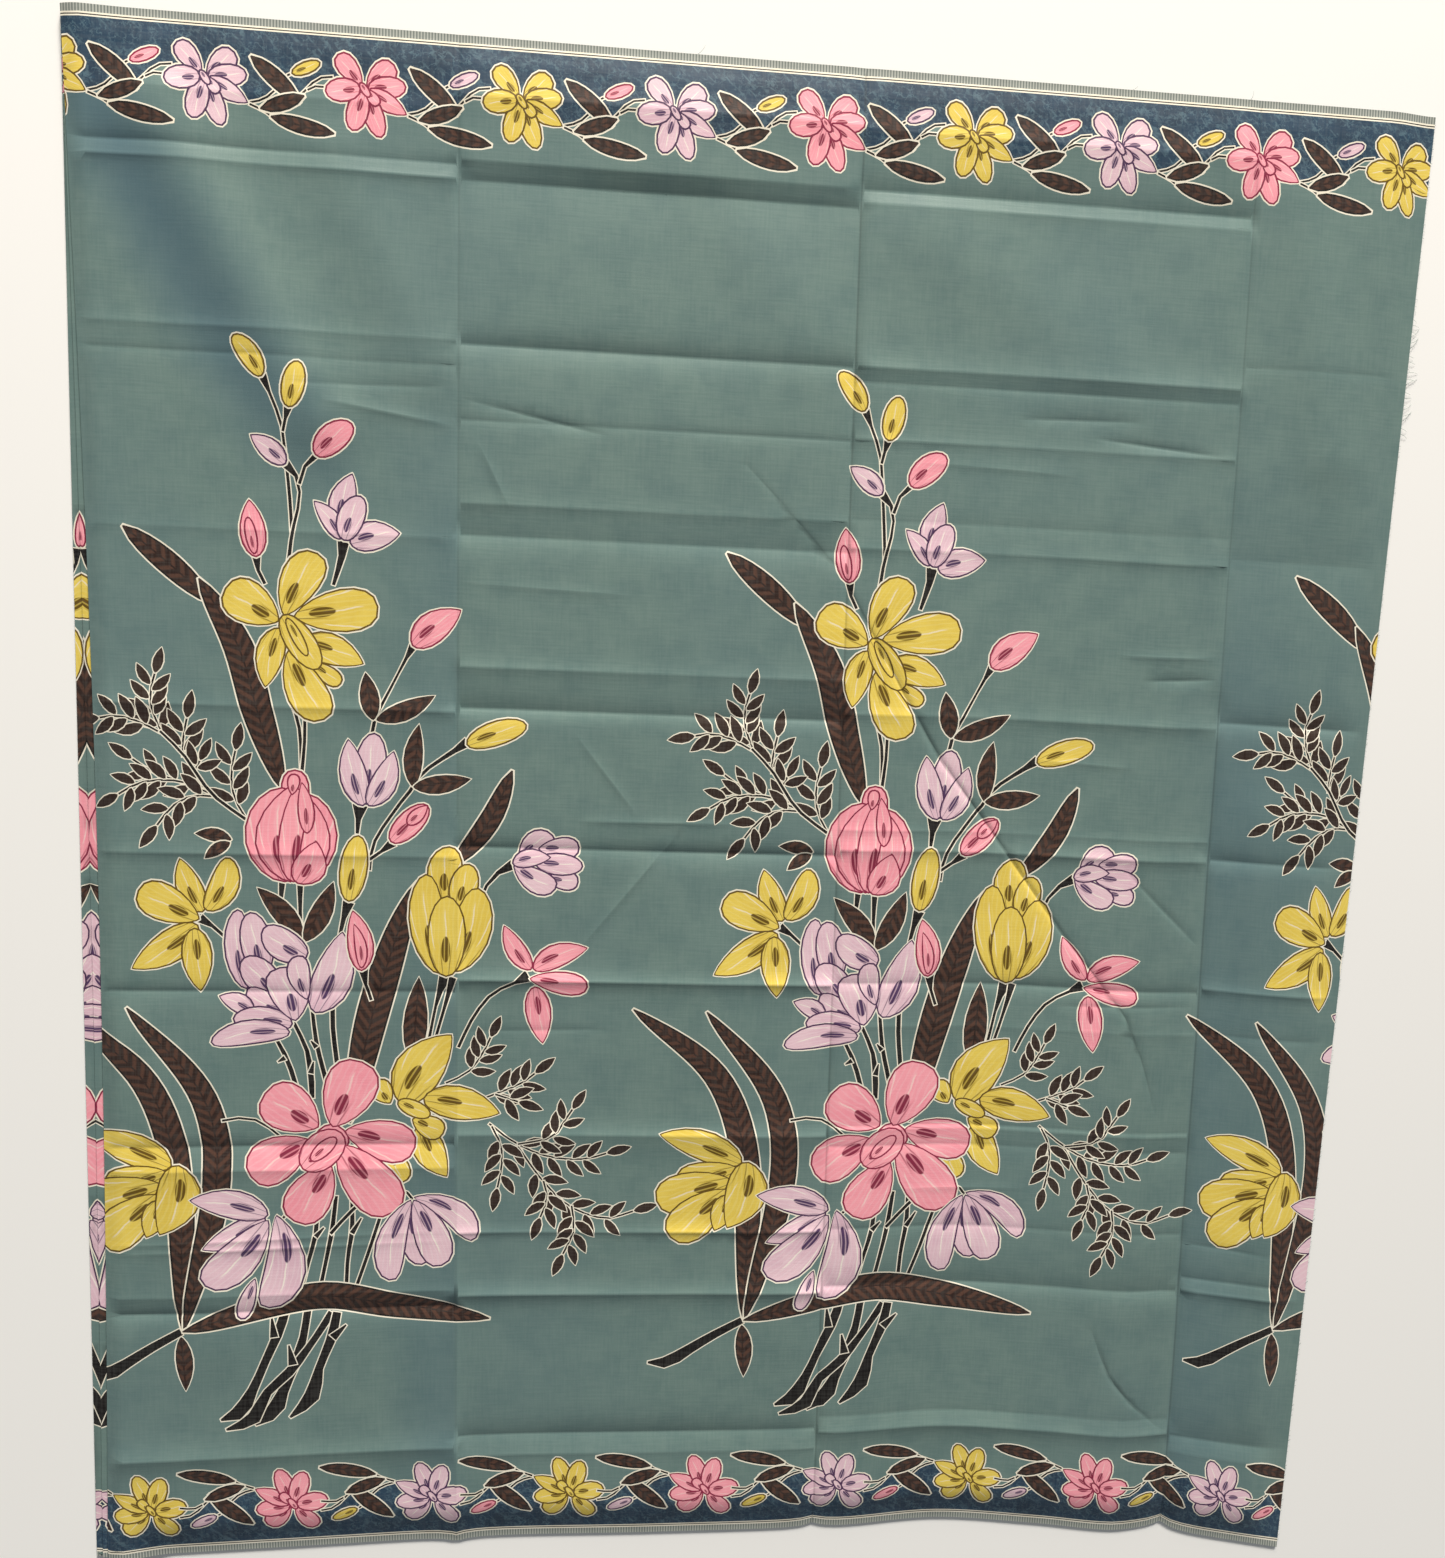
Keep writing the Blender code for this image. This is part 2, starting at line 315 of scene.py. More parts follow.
def pressed_folds(along, across):
    """The rise and fall of the cloth at its packet folds and creases."""
    height = np.zeros_like(along)
    sway, sway_length = FOLD_SWAY
    for line in pressed_lines():
        past, run, off = beside_line(along, across, line.start, line.end)
        wander = 1.0 + sway * np.sin(run / sway_length + line.start[0] + line.start[1])
        width = np.where(off > 0.0, line.left, line.right)
        height += line.rise / MM * wander * np.exp(-np.abs(off) / width) * tapered(line, past, run)
    for points in LONG_CREASES:
        distance, fall = long_crease(along, across, points)
        height -= fall / MM * np.exp(-distance / LONG_CREASE_WIDTH)
    return RELIEF_LIMIT * np.tanh(height / RELIEF_LIMIT)


def painted_crease_shade(along, across):
    """How dark the painted shade is down the hardest folds and creases."""
    dark = np.zeros_like(along)
    for line in pressed_lines():
        if line.dark:
            past, run, off = beside_line(along, across, line.start, line.end)
            near = np.clip(1.0 - np.abs(off) / NEAR_ROW, 0.0, 1.0)
            dark = np.maximum(dark, line.dark * near * tapered(line, past, run))
    for points in LONG_CREASES:
        distance, fall = long_crease(along, across, points)
        near = np.clip(1.0 - distance / NEAR_ROW, 0.0, 1.0)
        dark = np.maximum(dark, LONG_CREASE_PAINTED_SHADE * near * np.minimum(fall, 1.0))
    return dark


def broad_waves(along, across):
    """The soft waves where the cloth doesn't lie quite flat."""
    height = np.zeros_like(along)
    for *ends, rise, half_width in WAVES:
        past, _, off = beside_line(along, across, ends[:2], ends[2:])
        height += rise / MM * np.exp(-((off / half_width) ** 2) - (past / half_width) ** 2)
    return height


def rim_share(along, across):
    """0 on the hem selvedge and the raw cut, 1 inside them, and a little less at the top selvedge."""
    hem = smooth(across / RIM_REACH)
    top = 1.0 - TOP_RIM_FALL * (1.0 - smooth((CUT_WIDTH - across) / TOP_RIM_REACH))
    cut = smooth((raw_edge(across) - along) / RIM_REACH)
    near_fold = 1.0 - smooth((along - fold_edge(across)) / STRIP_BLEND)
    return (hem * top * (1.0 - near_fold) + near_fold) * cut


def face_height(along, across):
    """The height of the upper leaf's printed face."""
    rim = rim_share(along, across)
    crown = np.sqrt(smooth((along - fold_edge(across)) / FOLD_ROUNDING))
    relief = pressed_folds(along, across) + broad_waves(along, across)
    return RIM_TOP + rim * (EDGE_RISE + CROWN_RISE * crown + crown * relief)


def upper_face(along, across):
    """Points of the upper leaf's printed face."""
    x, y = on_floor(along, across)
    return np.stack([x, y, face_height(along, across)], axis=1)


def upper_back(along, across):
    """Points of the upper leaf's back, which turns down to the pleat at the fold."""
    points = upper_face(along, across)
    turn = np.exp(-(along - fold_edge(across)) / FOLD_TURN)
    inside = rim_share(along, across) * smooth((along - fold_edge(across)) / FOLD_ROUNDING)
    points[:, 2] -= SHEET_THICKNESS + BACK_CLEARANCE * inside + FOLD_DEPTH * turn
    return points


# Dyes of the print. The numbers are the cotton's material slots.
DYES = (
    "ground",
    "navy",
    "resist",
    "yellow",
    "yellow_line",
    "rose",
    "rose_line",
    "lilac",
    "lilac_line",
    "leaf",
    "leaflet",
    "black",
    "selvedge",
)
DYE_SLOT = {name: slot for slot, name in enumerate(DYES)}

# Widths of the drawn lines, in millimetres.
RESIST_LINE = 1.05
DRAWN_LINE = 1.3
LEAF_LINE = 0.7
STEM_RESIST = 0.8
STEM_HALF_WIDTH = 0.8
FINE_STEM = 0.5
STEM_GROWTH = 1.4
BLADE_CORE = 0.25

# How far apart a stem's and a blade's points are, in millimetres.
STEM_STEP = 12.0
THORN_STEP = 6.0
SPRIG_STEP = 10.0
BLADE_STEP = 9.0
BORDER_STEM_STEP = 7.0
BORDER_BLADE_STEP = 6.5

# Pairs of leaflets stand at even steps along a sprig's stalk, the last one step short of PAIRS_END,
# a share of the stalk. One leaflet of a pair stands further on than the other, by a share of a step.
# The stalk's places and headings are read at points HEADING_STEP millimetres apart.
PAIRS_END = 0.94
PAIR_STAGGER = 0.30
HEADING_STEP = 2.0

# Leaflets: their angle to the stalk in radians, and in millimetres their resist line, their gap to
# the stalk and their bend.
LEAFLET_SPREAD = 0.74
LEAFLET_RESIST = 0.9
LEAFLET_GAP = 1.5
LEAFLET_BEND = 0.8

# Shares of the leaflet length in the sprig's row: the first pair's length, and the end leaflet's
# length and half width. Later pairs are shorter, by less than LEAFLET_SHRINK. A paired leaflet's
# half width is a LEAFLET_SLIMNESS share of its own length.
LEAFLET_GROWTH = 1.20
END_LEAFLET_GROWTH = 1.2
END_LEAFLET_HALF_WIDTH = 0.23
LEAFLET_SHRINK = 0.12
LEAFLET_SLIMNESS = 0.195

# A leaf's or blade's own measure counts in centimetres, so that its veins keep their size.
PATTERN_UNIT = 10.0

# How a petal's or blade's width grows from one end and closes at the other: (base power, tip power).
PETAL_FORMS = {
    "round": (0.75, 0.42),
    "plump": (0.50, 0.50),
    "pointed": (0.60, 0.85),
    "leaf": (0.75, 0.95),
    "blade": (0.62, 0.62),
}
BLADE_END = 0.5


def swell(share, form):
    """The width of a petal or blade along its length, as a share of its widest."""
    base_power, tip_power = PETAL_FORMS[form]
    widest = base_power / (base_power + tip_power)
    most = widest**base_power * (1.0 - widest) ** tip_power
    return share**base_power * (1.0 - share) ** tip_power / most


def petal_outline(base, tip, half_width, form, bend=0.0, grow=0.0, points=10):
    """A petal's outline round its middle line, from its base to its tip."""
    base, tip = np.array(base, float), np.array(tip, float)
    length = np.hypot(*(tip - base))
    way = (tip - base) / length
    side = np.array([-way[1], way[0]])
    base = base - way * grow
    length = length + 2.0 * grow
    share = (1.0 - np.cos(np.linspace(0.0, np.pi, points))) / 2.0
    width = (half_width + grow) * swell(share, form)
    middle = base + np.outer(share * length, way) + np.outer(bend * 4.0 * share * (1.0 - share), side)
    left = middle + side * width[:, None]
    right = middle - side * width[:, None]
    return np.concatenate([left, right[-2:0:-1]])


def smooth_line(points, step):
    """More points on a smooth line through the given ones, all their columns eased alike."""
    points = np.array(points, float)
    gaps = np.hypot(*(points[1:, :2] - points[:-1, :2]).T)
    ends = np.concatenate([[0.0], np.cumsum(gaps)])
    count = max(2, round(ends[-1] / step)) + 1
    places = np.linspace(0.0, ends[-1], count)
    columns = [read_table(np.stack([ends, column], axis=1), places) for column in points.T]
    return np.stack(columns, axis=1)


def ways_of(line):
    """Unit vectors along a line, at each of its points."""
    way = np.gradient(line[:, :2], axis=0)
    return way / np.hypot(way[:, 0], way[:, 1])[:, None]


def sides_of(line):
    """Unit vectors square to a line, at each of its points."""
    way = ways_of(line)
    return np.stack([-way[:, 1], way[:, 0]], axis=1)


def ribbon_outline(line, grow=0.0):
    """The outline of a stem or blade from its middle line of (along, across, half width)."""
    side = sides_of(line)
    width = (line[:, 2] + grow)[:, None]
    middle = line[:, :2].copy()
    if grow:
        first = middle[0] - middle[1]
        last = middle[-1] - middle[-2]
        middle[0] += first / np.hypot(*first) * grow
        middle[-1] += last / np.hypot(*last) * grow
    left = middle + side * width
    right = middle - side * width
    return np.concatenate([left, right[::-1]])


class Drawing:
    """The print: outlines in the order they are laid, each with its dye and its own measure."""

    def __init__(self):
        self.patches = []

    def lay(self, dye, outline, measure=None):
        """Lays one patch of dye, turned anticlockwise. measure gives the patch's own places."""
        x, y = outline[:, 0], outline[:, 1]
        if (x * np.roll(y, -1) - np.roll(x, -1) * y).sum() < 0.0:
            outline = outline[::-1]
        self.patches.append((DYE_SLOT[dye], outline, measure))

    def petal(self, dye, form, base, tip, half_width, bend, points):
        """A petal or bud: its dark line and the dye inside it."""
        base, tip = np.array(base, float), np.array(tip, float)
        way = tip - base
        length = np.hypot(*way)
        way = way / length

        def measure(places):
            off = places - base
            run = (off @ way) / length
            across = (off[:, 1] * way[0] - off[:, 0] * way[1]) / half_width
            return np.stack([run, across - bend / half_width * 4.0 * run * (1.0 - run)], axis=1)

        self.lay(dye + "_line", petal_outline(base, tip, half_width, form, bend, 0.0, points))
        self.lay(dye, petal_outline(base, tip, half_width, form, bend, -DRAWN_LINE, points), measure)

    def bloom(self, dye, petals, points=10):
        """Petals laid over each other inside one resist line: (form, base, tip, half width, bend)."""
        for form, base, tip, half_width, bend in petals:
            self.lay("resist", petal_outline(base, tip, half_width, form, bend, RESIST_LINE, points))
        for form, base, tip, half_width, bend in petals:
            self.petal(dye, form, base, tip, half_width, bend, points)

    def blade(self, points, half_width, step=BLADE_STEP):
        """A long leaf with chevron veins along its middle line, widest half way."""
        line = smooth_line(points, step)
        runs = np.concatenate([[0.0], np.cumsum(np.hypot(*(line[1:] - line[:-1]).T))])
        share = np.clip(runs / runs[-1], 0.0, 1.0)
        line = np.column_stack([line, np.maximum(half_width * swell(share, "blade"), BLADE_END)])
        way = ways_of(line)

        def measure(places):
            off = places[:, None, :] - line[None, :, :2]
            near = np.argmin((off**2).sum(axis=2), axis=1)
            pick = off[np.arange(len(places)), near]
            run = runs[near] + (pick * way[near]).sum(axis=1)
            across = pick[:, 1] * way[near, 0] - pick[:, 0] * way[near, 1]
            return np.stack([run, across], axis=1) / PATTERN_UNIT

        self.lay("resist", ribbon_outline(line, RESIST_LINE))
        self.lay("black", ribbon_outline(line))
        inner = line.copy()
        inner[:, 2] = np.maximum(inner[:, 2] - DRAWN_LINE, BLADE_CORE)
        half = len(inner)
        outline = ribbon_outline(inner)
        middle = inner[:, :2]
        self.lay("leaf", np.concatenate([outline[:half], middle[::-1]]), measure)
        self.lay("leaf", np.concatenate([middle, outline[half:]]), measure)

    def leaflet(self, base, tip, half_width, bend=0.0, points=7):
        """A small leaf of one dark dye."""
        self.lay("resist", petal_outline(base, tip, half_width, "leaf", bend, LEAFLET_RESIST, points))
        self.lay("leaflet", petal_outline(base, tip, half_width, "leaf", bend, 0.0, points))

    def leaf(self, base, tip, half_width, bend):
        """A single leaf with faint veins."""
        base, tip = np.array(base, float), np.array(tip, float)
        way = (tip - base) / np.hypot(*(tip - base))

        def measure(places):
            off = places - base
            return np.stack([off @ way, off[:, 1] * way[0] - off[:, 0] * way[1]], axis=1) / PATTERN_UNIT

        self.lay("resist", petal_outline(base, tip, half_width, "leaf", bend, RESIST_LINE))
        self.lay("black", petal_outline(base, tip, half_width, "leaf", bend))
        self.lay("leaf", petal_outline(base, tip, half_width, "leaf", bend, -LEAF_LINE), measure)

    def stem(self, points, half_width=STEM_HALF_WIDTH, step=STEM_STEP):
        """A stem: a black line inside a resist line. Its points may hold half widths of their own."""
        rows = [tuple(point) + (half_width,) if len(point) == 2 else point for point in points]
        line = smooth_line(rows, step)
        line[:, 2] *= STEM_GROWTH
        self.lay("resist", ribbon_outline(line, STEM_RESIST))
        self.lay("black", ribbon_outline(line))

    def sprig(self, points, pairs, length, first):
        """A stalk with pairs of leaflets, the first pair at a share of it, and one at its end."""
        self.stem(points, FINE_STEM, SPRIG_STEP)
        line = smooth_line(points, HEADING_STEP)
        way = ways_of(line)
        for k in range(pairs):
            for side, stagger in ((1, PAIR_STAGGER), (-1, 0.0)):
                at = int((first + (PAIRS_END - first) * (k + stagger) / pairs) * (len(line) - 1))
                cos, sin = math.cos(side * LEAFLET_SPREAD), math.sin(side * LEAFLET_SPREAD)
                heading = way[at]
                out = np.array([heading[0] * cos - heading[1] * sin, heading[0] * sin + heading[1] * cos])
                base = line[at] + out * LEAFLET_GAP
                reach = length * LEAFLET_GROWTH * (1.0 - LEAFLET_SHRINK * k / pairs)
                self.leaflet(base, base + out * reach, reach * LEAFLET_SLIMNESS, side * LEAFLET_BEND)
        tip = line[-1] + way[-1] * length * END_LEAFLET_GROWTH
        self.leaflet(line[-1], tip, length * END_LEAFLET_HALF_WIDTH)


# The bouquet, in millimetres from the cloth's middle. Each bouquet is the same print moved along.
BOUQUET_PITCH = 428.8
BOUQUET_LEAN = 0.0129
BOUQUET_LEVEL = 568.5
BOUQUET_STRETCH = 1.028
# The right-hand bouquet lies a little off the even pitch: (along, across).
RIGHT_BOUQUET_MOVE = (7.0, 4.0)

# The right-hand bouquet is cut off before its blooms above this level.
HIGHEST_CUT_BLOOM = 225.0

# Long blades: (places of the middle line from tip to foot, half width).
BLADES_BEHIND = (
    (((-24, 228), (8, 203), (38, 177)), 8.5),
    (((28, 194), (55, 148), (70, 97), (87, 45)), 11.5),
    (((184, -20), (168, -65), (150, -130), (136, -205)), 12.0),
    (((252, 64), (237, 28), (214, -2), (205, -4)), 8.0),
    (((-82, -115), (-16, -168), (9, -240), (12, -366)), 11.0),
    (((-26, -116), (28, -183), (38, -250), (13, -366)), 10.5),
)
BLADES_BEFORE = ((((243, -364), (170, -351), (110, -342), (12, -367)), 11.5),)

# Single leaves: (base, tip, half width, bend).
LEAVES = (
    ((182, -158), (186, -92), 9.0, 0.0),
    ((151, 98), (145, 132), 7.0, 0.0),
    ((153, 98), (195, 117), 7.0, -2.0),
    ((180, 50), (184, 96), 7.0, 2.0),
    ((180, 50), (222, 57), 7.0, -1.0),
    ((101, -64), (68, -26), 8.0, -2.0),
    ((102, -66), (123, -21), 8.0, -2.0),
    ((50, 9), (24, 13), 5.0, -1.5),
    ((49, 7), (31, -5), 4.5, -1.0),
    ((11, -371), (14, -415), 6.5, 1.0),
)

# Leafy sprigs: (points of the stalk, pairs of leaflets, leaflet length, first leaflet).
SPRIGS = (
    (((2, 84), (-5, 100), (-6, 115), (-3, 127)), 4, 16, 0.10),
    (((0, 85), (-14, 92), (-30, 96), (-43, 94)), 3, 17, 0.22),
    (((16, 68), (16, 80), (19, 96)), 2, 17, 0.15),
    (((36, 42), (14, 50), (-6, 57), (-20, 66)), 3, 16, 0.20),
    (((30, 47), (8, 51), (-14, 49), (-30, 40)), 3, 16, 0.42),
    (((38, 40), (22, 40), (8, 32), (-3, 18)), 3, 17, 0.18),
    (((60, 25), (52, 40), (50, 58), (53, 74)), 3, 17, 0.22),
    (((24, 58), (28, 66)), 1, 15, 0.30),
    (((207, -174), (224, -165), (234, -151), (240, -138)), 3, 15, 0.40),
    (((236, -186), (246, -182), (264, -174), (274, -166)), 3, 16, 0.20),
    (((244, -183), (256, -187), (262, -189)), 1, 16, 0.50),
    (((240, -206), (262, -222), (285, -232), (312, -234), (330, -229)), 5, 16, 0.28),
    (((262, -222), (288, -216), (296, -205), (303, -194)), 3, 15, 0.30),
    (((262, -224), (280, -250), (302, -272), (330, -282), (352, -276)), 5, 16, 0.24),
    (((242, -208), (249, -222), (250, -240), (247, -258)), 3, 16, 0.25),
    (((282, -252), (285, -266), (280, -282)), 2, 16, 0.30),
    (((304, -272), (306, -292), (298, -312)), 3, 16, 0.22),
)

# Stems in the bouquet, from flower to foot: (along, across), or with a half width of their own.
STEMS = (
    ((60, 24), (36, 42), (16, 70, 0.7), (0, 86, 0.6)),
    ((73, 334, 2.2), (77, 325), (84, 308, 0.7), (87, 297, 0.7), (88, 285, 0.7), (91, 256), (93, 228)),
    ((91, 314, 2.2), (89, 306), (87, 297, 0.7)),
    (
        (88, 276, 2.4), (94, 270, 1.2), (98, 262, 0.7), (97, 245, 0.7), (93, 228),
        (91, 212, 0.9), (89, 200, 0.9),
    ),
    ((111, 283, 1.5), (104, 277), (100, 270), (98, 262)),
    ((68, 211, 2.2), (69, 202, 0.9), (74, 192)),
    ((129, 224, 3.0), (128, 214, 1.8), (122, 193)),
    ((180, 154, 2.4), (174, 143), (160, 115, 0.7), (152, 99, 0.9), (150, 88, 0.9)),
    ((219, 84, 2.6), (212, 79, 1.4), (186, 60), (180, 50, 0.9), (168, 34), (152, 8), (149, -12)),
    ((142, 36, 4.0), (141, 29, 1.8), (140, 15)),
    ((166, 9, 2.6), (160, 4, 1.0), (149, -4)),
    ((134, -36, 3.0), (131, -46, 1.4), (128, -60, 0.9)),
    ((145, -86, 2.6), (146, -95, 1.0), (151, -110)),
    ((254, -6, 2.8), (246, -10, 1.4), (236, -20), (230, -34)),
    ((267, -90, 3.4), (260, -94, 1.0), (240, -105), (226, -124), (216, -146)),
    ((86, -22, 1.6), (85, -36, 0.9)),
    ((99, -22, 1.6), (99, -42, 0.9), (100, -64, 1.0)),
    ((206, -90, 3.6), (200, -108, 1.0), (194, -140)),
    ((211, -92, 2.0), (206, -112, 0.9), (198, -142)),
    ((92, 112), (98, 92), (100, 58, 0.9)),
    ((102, 104), (102, 82), (100, 58, 0.9)),
    ((27, -49, 2.6), (35, -54, 1.0), (44, -62)),
    ((82, -140, 0.9), (90, -156, 1.2), (96, -175, 1.2)),
    ((94, -126, 0.9), (104, -148, 1.1), (107, -166, 1.6), (108, -185, 1.2)),
    ((108, -118, 0.9), (111, -142, 1.1), (119, -175, 1.2)),
    ((123, -108, 1.2), (123, -130, 1.2), (127, -165, 1.2)),
    ((42, -202, 0.6), (56, -200, 0.6), (70, -203, 0.6), (86, -216, 0.6)),
    ((112, -268, 1.0), (111, -292, 1.2), (106, -312, 1.0), (100, -338, 1.0)),
    ((126, -262, 1.0), (123, -290, 1.2), (119, -312, 1.0), (114, -338, 1.0)),
    ((138, -262, 1.0), (138, -290, 1.2), (135, -312, 1.0), (134, -338, 1.0)),
    ((160, -276, 0.9), (151, -306, 0.9), (140, -340, 0.9)),
    ((146, -266, 0.9), (134, -278, 0.9), (122, -292, 0.9)),
    ((82, -284, 0.7), (92, -272, 0.7), (100, -256, 0.7)),
    ((185, -268, 0.7), (180, -261, 0.7), (170, -257, 0.7)),
    ((89, -350, 2.2), (84, -368, 2.6), (74, -392, 2.2), (64, -416, 2.6), (54, -434, 4.2), (40, -440, 0.6)),
    (
        (105, -352, 2.0), (102, -374, 2.0), (96, -395, 2.8), (88, -415, 2.6),
        (80, -434, 4.4), (66, -445, 0.6),
    ),
    (
        (123, -356, 2.0), (108, -380, 1.8), (92, -402, 2.6), (74, -420, 2.4),
        (64, -440, 3.8), (44, -448, 0.6),
    ),
    ((127, -356, 2.2), (123, -376, 2.6), (114, -400, 2.2), (108, -424, 4.2), (92, -440, 0.6)),
    ((11, -367, 2.0), (-12, -380, 2.4), (-34, -394, 3.0), (-47, -402, 3.6), (-62, -402, 0.6)),
)

# Thorns and side shoots on the stems, as short tapering strokes.
THORNS = (
    ((88, -154, 1.4), (83, -157, 0.3)),
    ((107, -166, 1.6), (109, -157, 0.3)),
    ((111, -146, 1.4), (107, -141, 0.3)),
    ((111, -294, 1.4), (117, -287, 0.4)),
    ((138, -292, 1.4), (145, -280, 0.4)),
    ((80, -374, 2.2), (78, -358, 0.4)),
    ((94, -397, 2.4), (91, -381, 0.4)),
    ((124, -376, 2.4), (134, -366, 0.4)),
)

